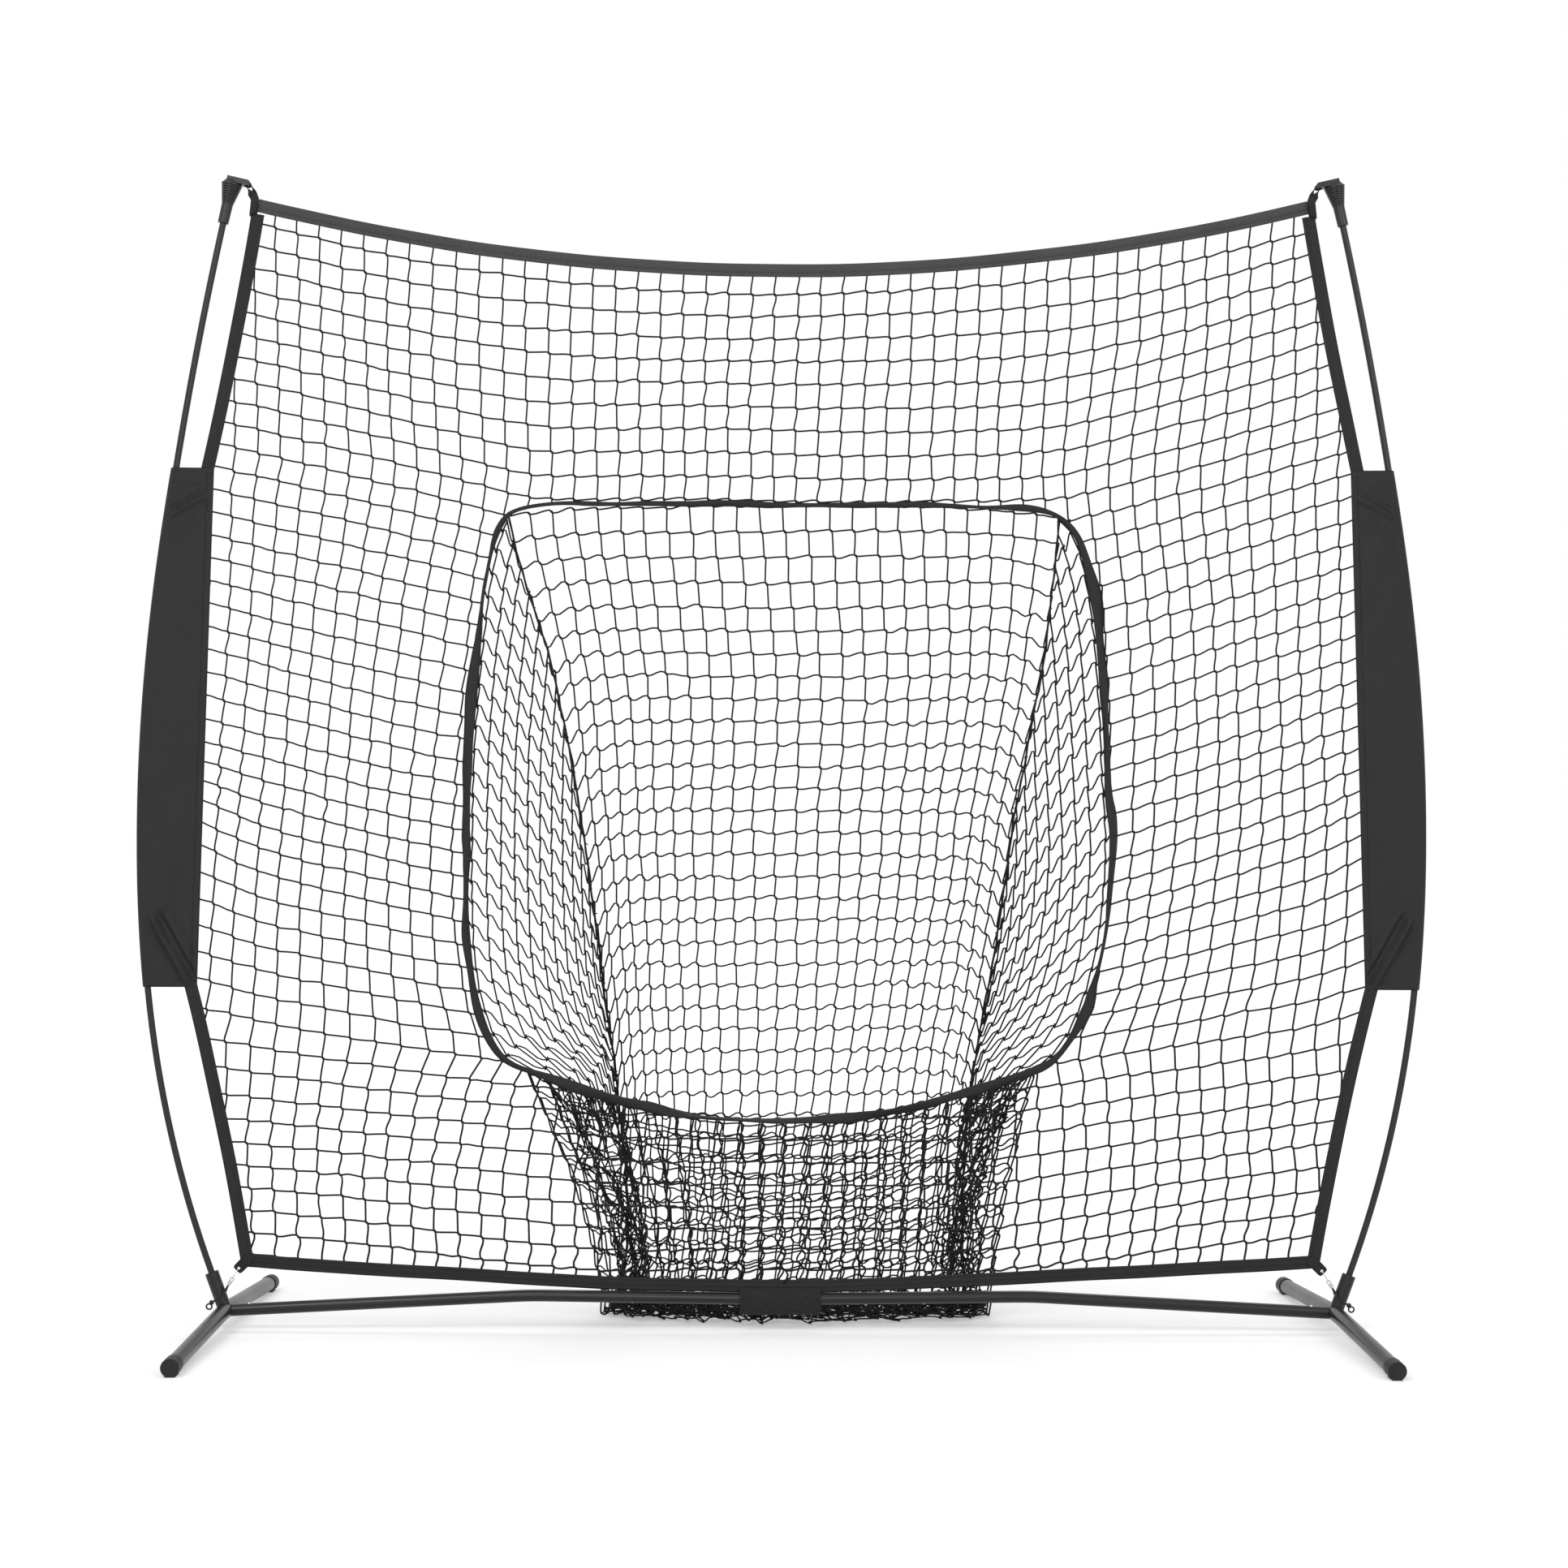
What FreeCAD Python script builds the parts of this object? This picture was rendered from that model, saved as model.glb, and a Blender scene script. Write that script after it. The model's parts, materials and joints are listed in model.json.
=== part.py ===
"""Pitching target net: a square practice net hung between two bowed poles on a low steel base.

Millimetres, +Z up, +X to the right of someone who faces the net, +Y towards its back.
The origin is on the floor, under the middle of the net.
The right-hand side is built first, and the left-hand side is its mirror image.
"""
import FreeCAD, Part
import math
import os

os.makedirs("parts", exist_ok=True)
V = FreeCAD.Vector
X_AXIS = V(1, 0, 0)
Y_AXIS = V(0, 1, 0)
Z_AXIS = V(0, 0, 1)

# ---- Driving dimensions -------------------------------------------------------------------
fit = 0.15                  # radial play of one piece that slides on another
soft_gap = 0.3              # fabric to its neighbour

# Feet, welded stubs and sockets
hub_x = 1025.5              # foot tube to the middle of the net
foot_reach = 457.0          # hub to each end of the foot tube
foot_d = 28.6
foot_wall = 1.5
foot_slope = 2.65           # degrees that each half of the foot falls towards its end
foot_bend_r = 1500.0
cap_wall = 1.4
cap_depth = 34.0
cap_end = 3.5
cap_groove = (1.8, 1.0, 0.6)     # behind the cap's end face; its width and depth
pad_w = 17.0
bar_d = 22.2
bar_wall = 1.4
bar_rise = 3.0              # degrees that the bar climbs from the hub to its bend
stub_end_x = 957.0
bar_bend_x = 463.0
bar_level_x = 80.0          # the bar runs level inside this
bar_mid_z = 60.0
bar_bend_r = 900.0
swage_wall = 1.2
swage_length = 48.0
shoulder = 2.0              # full-size end wall that a swage stops against
socket_d = 25.4
socket_wall = 1.6
socket_lean = 20.0          # degrees outward from upright
socket_length = 75.0

# Snap buttons in the bar's joints
button_d = 6.4
button_setback = 24.0
button_stand = 1.6          # how far the button stands out of the tube
button_flange_r = 4.2
button_flange_t = 1.0
spring_w = 8.0
spring_t = 0.6
spring_length = 30.0
spring_play = 0.1

# Bowed poles
pole_d = 12.0
pole_bow = ((2150.0, 16.85), (3490.0, 10.7), (8140.0, 5.3))     # radius and turn, from the socket up
ferrule_wall = 1.3
ferrule_length = 60.0
lower_joint = 720.0         # joints of the pole sections, along the pole from the hub
upper_joint = 1420.0
joint_gap = 0.1

# Pole caps and the straps that hold the net's top corners
pole_cap_seat = 71.0        # pole inside its cap
pole_cap_play = 0.4         # room for the pole's bow in the cap's straight bore
pole_cap_top = 15.0         # plastic above the pole's end
pole_cap_sleeve_d = 19.5
pole_cap_draft = 0.6        # the sleeve widens by this much on its radius
pole_cap_sleeve_length = 36.0
pole_cap_head_d = 38.0
pole_cap_crown_d = 18.0
rib_zone = 38.0             # length of the ribbed cone
rib_count = 9
rib_depth = 1.3
rib_profile = ((0.1, 1), (0.4, 0), (0.8, 0), (1.0, 1))      # shares of the pitch and the depth
arm_back = 9.0              # the arm starts this far behind the cap's axis
arm_reach = 34.0            # cap's axis to the arm's round end
arm_h = 10.0
arm_rail = 3.0
pin_r = 3.0
strap_w = 16.0
strap_t = 1.8
strap_play = 0.5            # strap to the rails and the web of the arm
strap_twist_steps = 6
strap_lap = 16.0            # the strap lies flat from this far above the net's corner
strap_tail = 17.0           # and ends this far below it

# Netting, tapes and the strike-zone opening, in the plane of the poles
mesh = 42.7
twine = 2.8
tape_w = 24.0
tape_t = 1.8
top_corner = (971.0, 2078.0)
top_sag = 119.0
sleeve_top = (1050.0, 1592.0)
sleeve_bottom = (1079.0, 633.0)
upper_tape_belly = 4.0      # how far the side tapes curve in from straight
lower_tape_belly = 6.0
bottom_corner = (986.0, 128.0)
zone_top = (514.0, 1508.0)
zone_bottom = (507.0, 502.0)
zone_crown = 21.0           # bulge of the opening's top, sides and bottom
zone_flank = 89.0
zone_sag = 110.0
rim_w = 13.0
rim_t = 6.0

# Pole sleeves
pocket_r = 7.9
fabric_t = 1.2
web_lap = 12.0              # the web covers this much of the netting's edge
web_end_drops = (50.0, 10.0)     # netting joins the web this far below its top and bottom

# Netting sock behind the opening
sock_base_half = 365.0
sock_front_y = 150.0
sock_back_y = 300.0
sock_base_z = 8.0

# Wrap that ties the bottom tape to the bar
wrap_length = 150.0
wrap_t = 2.0
wrap_hang = 17.0            # slack of the wrap under the bar
wrap_full_rise = 5.0        # the wrap is at its widest up to this far above the bar's middle
wrap_seam_drop = 6.0        # its seam is this far below the middle of the bottom tape
wrap_seam_h = 3.0
flap_height = 26.0
flap_inset = 15.0
flap_rise = 4.0

# Elastic corner ties
tab_w = 20.0
tab_length = 38.0
tab_end = 6.0               # tab beyond the middle of its hole
tab_hole_r = 2.6
tab_hole_place = (14.0, -14.0)   # from the tapes' corner
tie_aim = (-9.0, 52.0)      # from the hub to the point that the link pulls towards
link_d = 2.0
link_seat = 0.4             # play of the link's bow in its hole
link_bow_r = 4.5
link_length = 14.0
eye_r = 3.4
eye_wire_r = 1.1
tie_ferrule_r = 3.4
tie_ferrule_length = 9.0
tie_play = 0.7
tie_cord_d = 3.0
tie_cord_gap = 0.1          # each cord to the middle of the pair
tie_knot_r = 4.5
tie_knot_place = (25.5, 14.5)    # from the hub
tie_loop_r = 5.0
tie_loop_place = (4.5, -7.5)     # from the knot

# ---- Common shapes ------------------------------------------------------------------------


def save(name, solids):
    """Write one node from one solid or a list of them."""
    shape = solids if isinstance(solids, Part.Shape) else Part.makeCompound(solids)
    shape.exportStep("parts/%s.step" % name)


def save_pair(name, solids):
    """Write the right-hand node and its mirror image on the left."""
    shape = solids if isinstance(solids, Part.Shape) else Part.makeCompound(solids)
    shape.exportStep("parts/right_%s.step" % name)
    shape.mirror(V(), X_AXIS).exportStep("parts/left_%s.step" % name)


def lean(angle):
    """Unit vector in the net's plane, leaning outward from upright by an angle in degrees."""
    return V(math.sin(math.radians(angle)), 0, math.cos(math.radians(angle)))


def rod(start, direction, length, radius):
    return Part.makeCylinder(radius, length, start, direction)


def pipe(start, direction, length, outer_r, inner_r):
    return rod(start, direction, length, outer_r).cut(rod(start, direction, length, inner_r))


def bent_path(points, radius):
    """Straight runs joined by tangent arcs; the radius may be None for the largest that fits."""
    edges = []
    start = points[0]
    for before, corner, after in zip(points, points[1:], points[2:]):
        arriving = (corner - before).normalize()
        leaving = (after - corner).normalize()
        half_turn = arriving.getAngle(leaving) / 2
        shorter = min(corner.distanceToPoint(before), corner.distanceToPoint(after))
        arc_r = radius or 0.45 * shorter / math.tan(half_turn)
        reach = arc_r * math.tan(half_turn)
        first = corner - arriving * reach
        last = corner + leaving * reach
        to_centre = (leaving - arriving).normalize()
        middle = corner + to_centre * (arc_r / math.cos(half_turn) - arc_r)
        edges.append(Part.makeLine(start, first))
        edges.append(Part.Arc(first, middle, last).toShape())
        start = last
    edges.append(Part.makeLine(start, points[-1]))
    return Part.Wire(edges)


def swept(path, radius):
    """Round solid along a path."""
    edge = path.OrderedEdges[0]
    begin = path.OrderedVertexes[0].Point
    tangent = edge.tangentAt(edge.FirstParameter)
    if edge.valueAt(edge.FirstParameter).distanceToPoint(begin) > 1e-6:
        tangent = edge.tangentAt(edge.LastParameter) * -1
    profile = Part.Wire(Part.makeCircle(radius, begin, tangent))
    return path.makePipeShell([profile], True, True)


def flat(x, z, y=0.0):
    return V(x, y, z)


def plate(wire, front_y, thickness):
    """Solid of a closed wire in the net's plane, moved to front_y and thickened backwards."""
    face = Part.Face(wire)
    face.translate(V(0, front_y, 0))
    return face.extrude(V(0, thickness, 0))


def closed(points):
    return Part.makePolygon(points + points[:1])


def bulged(start, end, bulge):
    """Arc between two points in the net's plane; a positive bulge is to the left of the way."""
    along = end - start
    side = V(-along.z, 0, along.x).normalize()
    return Part.Arc(start, (start + end) * 0.5 + side * bulge, end).toShape()


def blend(corners, u, v):
    low = corners[0] * (1 - u) + corners[1] * u
    high = corners[3] * (1 - u) + corners[2] * u
    return low * (1 - v) + high * v


def netting(corners, across, up, low_edge=None):
    """Square-mesh panel on four corners, thickened along its normal by one twine.

    low_edge is the panel's first side where that one is curved.
    """
    width = (corners[0].distanceToPoint(corners[1]) + corners[3].distanceToPoint(corners[2])) / 2
    height = (corners[0].distanceToPoint(corners[3]) + corners[1].distanceToPoint(corners[2])) / 2
    trim_u = twine / 2 / width
    trim_v = twine / 2 / height

    def knot(u, v):
        point = blend(corners, u, v)
        if low_edge is None:
            return point
        first = low_edge.FirstParameter
        curved = low_edge.valueAt(first + u * (low_edge.LastParameter - first))
        return point + (curved - blend(corners, u, 0.0)) * (1 - v)

    low_side = [knot(i / across, 0.0) for i in range(across)]
    wires = [closed(low_side + corners[1:])]
    for i in range(across):
        for j in range(up):
            span_u = (i / across + trim_u, (i + 1) / across - trim_u)
            span_v = (j / up + trim_v, (j + 1) / up - trim_v)
            hole = [knot(span_u[0], span_v[0]), knot(span_u[1], span_v[0]),
                    knot(span_u[1], span_v[1]), knot(span_u[0], span_v[1])]
            narrowest = min(hole[0].distanceToPoint(hole[1]), hole[3].distanceToPoint(hole[2]))
            if narrowest > 2 * twine:
                wires.append(closed(hole))
    normal = (corners[1] - corners[0]).cross(corners[2] - corners[0]).normalize()
    return Part.Face(wires).extrude(normal * twine)


# ---- Feet ---------------------------------------------------------------------------------
foot_r = foot_d / 2
cap_r = foot_r + fit + cap_wall
end_z = foot_r + cap_wall
apex_z = end_z + foot_reach * math.tan(math.radians(foot_slope))
hub_z = apex_z - foot_bend_r * (1 / math.cos(math.radians(foot_slope)) - 1)
hub = V(hub_x, 0, hub_z)
foot_points = [V(hub_x, -foot_reach, end_z), V(hub_x, 0, apex_z), V(hub_x, foot_reach, end_z)]
foot_path = bent_path(foot_points, foot_bend_r)
foot_solid = swept(foot_path, foot_r)
save_pair("foot_tube", foot_solid.cut(swept(foot_path, foot_r - foot_wall)))

for label, end_point, side in (("front", foot_points[0], -1), ("rear", foot_points[2], 1)):
    outward = (end_point - foot_points[1]).normalize()
    mouth = end_point - outward * (cap_depth - cap_end)
    body = rod(mouth, outward, cap_depth, cap_r)
    pad_front = min(mouth.y, mouth.y + side * cap_depth)
    pad = Part.makeBox(pad_w, cap_depth, end_z, V(hub_x - pad_w / 2, pad_front, 0))
    below_floor = Part.makeBox(4 * cap_r, 2 * cap_depth, cap_r,
                               V(hub_x - 2 * cap_r, pad_front - cap_depth / 2, -cap_r))
    bore = rod(mouth - outward, outward, cap_depth - cap_end + 1, foot_r + fit)
    groove_at = end_point + outward * (cap_end - cap_groove[0])
    groove = pipe(groove_at, outward, cap_groove[1], 2 * cap_r, cap_r - cap_groove[2])
    save_pair("%s_foot_cap" % label, body.fuse(pad).cut(below_floor).cut(bore).cut(groove))

# ---- Pole sockets and the stubs of the base bar -------------------------------------------
socket_axis = lean(socket_lean)
socket_r = socket_d / 2
socket_top = hub + socket_axis * socket_length
socket_solid = rod(hub, socket_axis, socket_length, socket_r)
socket_bore_r = socket_r - socket_wall
save_pair("pole_socket", pipe(hub, socket_axis, socket_length, socket_r, socket_bore_r).cut(foot_solid))

pole_r = pole_d / 2
pole_start = foot_r + soft_gap
bush_start = hub + socket_axis * (foot_r + socket_bore_r)
bush_length = socket_length - foot_r - socket_bore_r
save_pair("socket_bush", pipe(bush_start, socket_axis, bush_length, socket_bore_r - fit, pole_r + fit))

bar_r = bar_d / 2
bar_bore_r = bar_r - bar_wall
inward = V(-math.cos(math.radians(bar_rise)), 0, math.sin(math.radians(bar_rise)))
bar_up = V(math.sin(math.radians(bar_rise)), 0, math.cos(math.radians(bar_rise)))
stub_length = (hub_x - stub_end_x) / -inward.x
seam = hub + inward * stub_length
button_foot = seam - inward * button_setback
button_hole = rod(button_foot, bar_up, bar_d, button_d / 2 + fit)
stub = pipe(hub, inward, stub_length, bar_r, bar_bore_r)
save_pair("bar_stub", stub.cut(foot_solid).cut(socket_solid).cut(button_hole))

# ---- Base bar in two halves, swaged to slide into the stubs and into each other -----------
swage_r = bar_bore_r - fit
swage_bore_r = swage_r - swage_wall
bend_point = hub + inward * ((hub_x - bar_bend_x) / -inward.x)
level_point = V(bar_level_x, 0, bar_mid_z)
middle_point = V(0, 0, bar_mid_z)
bar_path = bent_path([seam, bend_point, level_point, middle_point], bar_bend_r)
swage_tip = seam - inward * swage_length
outer_swage = rod(swage_tip, inward, swage_length + shoulder, swage_r)
outer_swage_bore = rod(swage_tip, inward, swage_length + shoulder, swage_bore_r)
half_bar = swept(bar_path, bar_r).cut(swept(bar_path, bar_bore_r))
outer_shoulder = rod(seam, inward, shoulder, bar_r)
half_bar = half_bar.fuse(outer_shoulder).fuse(outer_swage).cut(outer_swage_bore).cut(button_hole)

joint_button_foot = V(-button_setback, 0, bar_mid_z)
joint_hole = rod(joint_button_foot, -Z_AXIS, bar_d, button_d / 2 + fit)
middle_swage = rod(V(shoulder, 0, bar_mid_z), -X_AXIS, swage_length + shoulder, swage_r)
middle_shoulder = rod(middle_point, X_AXIS, shoulder, bar_r)
middle_bore = rod(V(shoulder, 0, bar_mid_z), -X_AXIS, swage_length + shoulder, swage_bore_r)
right_bar = half_bar.fuse(middle_shoulder).fuse(middle_swage).cut(middle_bore).cut(joint_hole)
save("right_base_bar", right_bar)
save("left_base_bar", half_bar.mirror(V(), X_AXIS).cut(joint_hole))

# ---- Snap buttons, each on a leaf spring folded inside the swaged end ---------------------


def snap_button(foot, up):
    """Domed pin whose flange stops it under the wall of the swaged end."""
    flange_top = math.sqrt(swage_bore_r ** 2 - button_flange_r ** 2) - soft_gap
    top = bar_r + button_stand
    flange = rod(foot + up * (flange_top - button_flange_t), up, button_flange_t, button_flange_r)
    pin = rod(foot + up * (flange_top - button_flange_t / 2), up, top - flange_top, button_d / 2)
    dome = Part.makeSphere(button_d / 2, foot + up * (top - button_d / 2))
    return flange.fuse(pin.common(rod(foot, up, top - button_d / 2, button_d))).fuse(
        dome.common(rod(foot + up * (top - button_d / 2), up, button_d, button_d)))


def snap_spring(foot, along, up):
    """Leaf folded into a V: one leg under the button, the other on the bottom of the bore."""
    flange_low = math.sqrt(swage_bore_r ** 2 - button_flange_r ** 2) - soft_gap - button_flange_t
    leg_top = flange_low - spring_play
    leg_low = spring_play - math.sqrt(swage_bore_r ** 2 - (spring_w / 2) ** 2)
    back = spring_length - button_flange_r
    ahead = button_flange_r
    outline = [foot - along * ahead + up * leg_top,
               foot + along * button_flange_r + up * leg_top,
               foot + along * back + up * (leg_low + 2 * spring_t),
               foot + along * back + up * leg_low,
               foot - along * ahead + up * leg_low,
               foot - along * ahead + up * (leg_low + spring_t),
               foot + along * (back - 3 * spring_t) + up * (leg_low + spring_t),
               foot + along * button_flange_r + up * (leg_top - spring_t),
               foot - along * ahead + up * (leg_top - spring_t)]
    face = Part.Face(closed(outline))
    face.translate(Y_AXIS * (-spring_w / 2))
    return face.extrude(Y_AXIS * spring_w)


save_pair("snap_button", snap_button(button_foot, bar_up))
save_pair("snap_spring", snap_spring(button_foot, inward, bar_up))
save("middle_snap_button", snap_button(joint_button_foot, -Z_AXIS))
save("middle_snap_spring", snap_spring(joint_button_foot, X_AXIS, -Z_AXIS))

# ---- Bowed poles in three sections, joined by ferrules ------------------------------------
pole_length = socket_length + sum(r * math.radians(turn) for r, turn in pole_bow)


def pole_point(s):
    """Point on the pole's centre line and its lean in degrees, s along it from the hub."""
    straight = min(s, socket_length)
    point = hub + socket_axis * straight
    angle = socket_lean
    left = s - straight
    for radius, turn in pole_bow:
        arc = min(left, radius * math.radians(turn))
        after = angle - math.degrees(arc / radius)
        a0 = math.radians(angle)
        a1 = math.radians(after)
        point = point + V(radius * (math.cos(a1) - math.cos(a0)), 0,
                          radius * (math.sin(a0) - math.sin(a1)))
        angle = after
        left = left - arc
    return point, angle


def pole_path(first, last):
    """Wire of the pole's centre line between two lengths from the hub."""
    breaks = [0.0, socket_length]
    for radius, turn in pole_bow:
        breaks.append(breaks[-1] + radius * math.radians(turn))
    edges = []
    for index, (low, high) in enumerate(zip(breaks, breaks[1:])):
        low = max(low, first)
        high = min(high, last)
        if high - low < 1e-6:
            continue
        ends = (pole_point(low)[0], pole_point((low + high) / 2)[0], pole_point(high)[0])
        straight = index == 0
        edges.append(Part.makeLine(ends[0], ends[2]) if straight else Part.Arc(*ends).toShape())
    return Part.Wire(edges)


def pole_at_height(z):
    """Length along the pole at which its centre line reaches a height."""
    low = 0.0
    high = pole_length
    while high - low > 1e-4:
        middle = (low + high) / 2
        if pole_point(middle)[0].z < z:
            low = middle
        else:
            high = middle
    return low


half_gap = joint_gap / 2
save_pair("pole_lower", swept(pole_path(pole_start, lower_joint - half_gap), pole_r))
save_pair("pole_middle", swept(pole_path(lower_joint + half_gap, upper_joint - half_gap), pole_r))
save_pair("pole_upper", swept(pole_path(upper_joint + half_gap, pole_length), pole_r))
ferrules = []
for joint in (lower_joint, upper_joint):
    path = pole_path(joint - ferrule_length / 2, joint + ferrule_length / 2)
    ferrules.append(swept(path, pole_r + fit + ferrule_wall).cut(swept(path, pole_r + fit)))
save_pair("pole_ferrules", ferrules)

# ---- Pole caps with an arm and a pin for the corner strap ---------------------------------
tip, tip_lean = pole_point(pole_length)
cap_up = lean(tip_lean)
cap_inward = V(-cap_up.z, 0, cap_up.x)
cap_base = tip - cap_up * pole_cap_seat
cap_height = pole_cap_seat + pole_cap_top
sleeve_r = pole_cap_sleeve_d / 2
neck_r = sleeve_r + pole_cap_draft
head_r = pole_cap_head_d / 2
rib_pitch = rib_zone / rib_count

outline = [V(0, 0, 0), V(sleeve_r, 0, 0), V(neck_r, 0, pole_cap_sleeve_length)]
for rib in range(rib_count):
    base_z = pole_cap_sleeve_length + rib * rib_pitch
    rib_r = neck_r + (head_r - neck_r) * (rib + 1) / rib_count
    for rise, sink in rib_profile:
        outline.append(V(rib_r - sink * rib_depth, 0, base_z + rise * rib_pitch))
outline.append(V(pole_cap_crown_d / 2, 0, cap_height))
outline.append(V(0, 0, cap_height))
cap_solid = Part.Face(closed(outline)).revolve(V(), Z_AXIS, 360)
cap_bore = Part.makeCylinder(pole_r + pole_cap_play, pole_cap_seat + pole_cap_play)
for piece in (cap_solid, cap_bore):
    piece.Placement = FreeCAD.Placement(cap_base, FreeCAD.Rotation(Z_AXIS, cap_up))

net_corner = flat(*top_corner)
net_front = -twine / 2
tape_front = net_front - tape_t
strap_y = (tape_front + twine / 2) / 2
arm_half = arm_h / 2
arm_w = strap_w + 2 * (strap_play + arm_rail)
arm_root = cap_base + cap_up * (cap_height - arm_half)
pin_middle = arm_root + cap_inward * (arm_reach - arm_half)
strap_turn_r = pin_r + soft_gap + strap_t / 2


def slab(middle, along, side, length, width, front_y, thickness):
    """Flat rectangular plate in the net's plane, centred on a point and turned along a line."""
    half_l = along * (length / 2)
    half_w = side * (width / 2)
    return plate(closed([middle - half_l - half_w, middle + half_l - half_w,
                         middle + half_l + half_w, middle - half_l + half_w]), front_y, thickness)


def cross_rod(middle, radius, length):
    """Rod from front to back through a point of the net's plane, centred on the strap."""
    return rod(middle + Y_AXIS * (strap_y - length / 2), Y_AXIS, length, radius)


arm_length = arm_back + arm_reach - arm_half
arm = slab(pin_middle - cap_inward * (arm_length / 2), cap_inward, cap_up, arm_length, arm_h,
           strap_y - arm_w / 2, arm_w)
slot_w = strap_w + 2 * strap_play
slot_back = strap_turn_r + strap_t / 2 + strap_play
slot = slab(pin_middle + cap_inward * ((arm_h - slot_back) / 2), cap_inward, cap_up,
            arm_h + slot_back, 2 * arm_h, strap_y - slot_w / 2, slot_w)
arm = arm.fuse(cross_rod(pin_middle, arm_half, arm_w)).cut(slot)
pole_cap = cap_solid.fuse(arm).fuse(cross_rod(pin_middle, pin_r, arm_w)).cut(cap_bore)
save_pair("pole_cap", pole_cap.removeSplitter())

# ---- Corner straps, each a loop round the pin that turns flat onto the net's corner -------
strap_down = (net_corner - pin_middle).normalize()
strap_side = V(-strap_down.z, 0, strap_down.x)
strap_reach = net_corner.distanceToPoint(pin_middle)
flat_offset = (twine + tape_t + strap_t) / 2


def strap_section(distance, share, side):
    """Outline of one leg across its length; share 0 is edge on and 1 flat on the tape."""
    turn = math.radians(90 * share)
    outward = strap_side * math.cos(turn) - Y_AXIS * math.sin(turn)
    across = strap_side * math.sin(turn) + Y_AXIS * math.cos(turn)
    offset = strap_turn_r * (1 - share) + flat_offset * share
    middle = pin_middle + Y_AXIS * strap_y + strap_down * distance + outward * (side * offset)
    half_w = across * (strap_w / 2)
    half_t = outward * (strap_t / 2)
    return closed([middle - half_w - half_t, middle + half_w - half_t,
                   middle + half_w + half_t, middle - half_w + half_t])


twist_start = arm_half + soft_gap
twist_length = strap_reach - strap_lap - twist_start
stations = [(0.0, 0.0)]
for step in range(strap_twist_steps + 1):
    share = step / strap_twist_steps
    stations.append((twist_start + share * twist_length, share))
stations.append((strap_reach + strap_tail, 1.0))

bow_r = strap_turn_r + strap_t / 2
bow = cross_rod(pin_middle, bow_r, strap_w).cut(cross_rod(pin_middle, bow_r - strap_t, strap_w))
strap = bow.cut(slab(pin_middle + strap_down * bow_r, strap_down, strap_side, 2 * bow_r, 4 * bow_r,
                     strap_y - strap_w, 2 * strap_w))
for side in (-1, 1):
    strap = strap.fuse(Part.makeLoft([strap_section(*station, side) for station in stations], True, True))
save_pair("corner_strap", strap)

# ---- Sewn tapes round the netting ---------------------------------------------------------
tape_half = tape_w / 2


def tape_band(start, end, bulge):
    """Band of tape along an arc between two points of its middle line."""
    side = V(start.z - end.z, 0, end.x - start.x).normalize() * tape_half
    outline = [bulged(start + side, end + side, bulge), Part.makeLine(end + side, end - side),
               bulged(end - side, start - side, -bulge), Part.makeLine(start - side, start + side)]
    return plate(Part.Wire(outline), tape_front, tape_t)


def between(low_z, high_z):
    """Room between two heights, wider than the net."""
    span = 4 * hub_x
    return Part.makeBox(span, span, high_z - low_z, V(-span / 2, -span / 2, low_z))


tape_left = flat(-top_corner[0], top_corner[1])
tape_right = flat(*top_corner)
top_tape = tape_band(tape_left, tape_right, -top_sag)
save("top_tape", top_tape)

upper_low = flat(sleeve_top[0] + tape_half, sleeve_top[1])
upper_tape = tape_band(upper_low, tape_right, upper_tape_belly)
above_sleeve = between(upper_low.z + soft_gap, tape_right.z + tape_w)
save_pair("upper_side_tape", upper_tape.common(above_sleeve).cut(top_tape).Solids[0])

lower_top = flat(sleeve_bottom[0] + tape_half, sleeve_bottom[1])
bottom_right = flat(*bottom_corner)
lower_tape = tape_band(bottom_right, lower_top, lower_tape_belly)
below_sleeve = between(0, lower_top.z - soft_gap)

bar_top_z = bar_mid_z + bar_r
wrap_half = wrap_length / 2
tape_low_z = bar_top_z + soft_gap
inner_low = flat(wrap_half, tape_low_z)
corner_low = bottom_right - Z_AXIS * tape_half
bottom_outline = [corner_low, inner_low, flat(-wrap_half, tape_low_z), flat(-corner_low.x, corner_low.z)]
raised = [point + Z_AXIS * tape_w for point in reversed(bottom_outline)]
bottom_tape = plate(closed(bottom_outline + raised), tape_front, tape_t)
save("bottom_tape", bottom_tape)
save_pair("lower_side_tape", lower_tape.common(below_sleeve).cut(bottom_tape).Solids[0])

# ---- Front netting round the opening ------------------------------------------------------


def curved_parts(start, end, bulge, count):
    """Equal parts of one curved side of the opening."""
    knots = bulged(start, end, bulge).discretize(2 * count + 1)
    return [Part.Arc(*knots[2 * i:2 * i + 3]).toShape() for i in range(count)]


rim_half = rim_w / 2
net_clear = rim_half + soft_gap
tl = flat(-zone_top[0] - net_clear, zone_top[1] + net_clear)
tr = flat(zone_top[0] + net_clear, zone_top[1] + net_clear)
br = flat(zone_bottom[0] + net_clear, zone_bottom[1] - net_clear)
bl = flat(-zone_bottom[0] - net_clear, zone_bottom[1] - net_clear)
zone_parts = (curved_parts(tl, tr, zone_crown, 2)[1:] + curved_parts(tr, br, zone_flank, 3)
              + curved_parts(br, bl, zone_sag, 4)[:2])

sag_arc = bulged(tape_left, tape_right, -top_sag).Curve


def sag_z(x):
    """Height of the top tape's middle line."""
    drop = math.sqrt(sag_arc.Radius ** 2 - x ** 2)
    return sag_arc.Center.z - drop


def bottom_z(x):
    """Height of the bottom tape's middle line."""
    share = max(0.0, (abs(x) - wrap_half) / (bottom_right.x - wrap_half))
    return tape_low_z + tape_half + share * (bottom_right.z - tape_low_z - tape_half)


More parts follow.
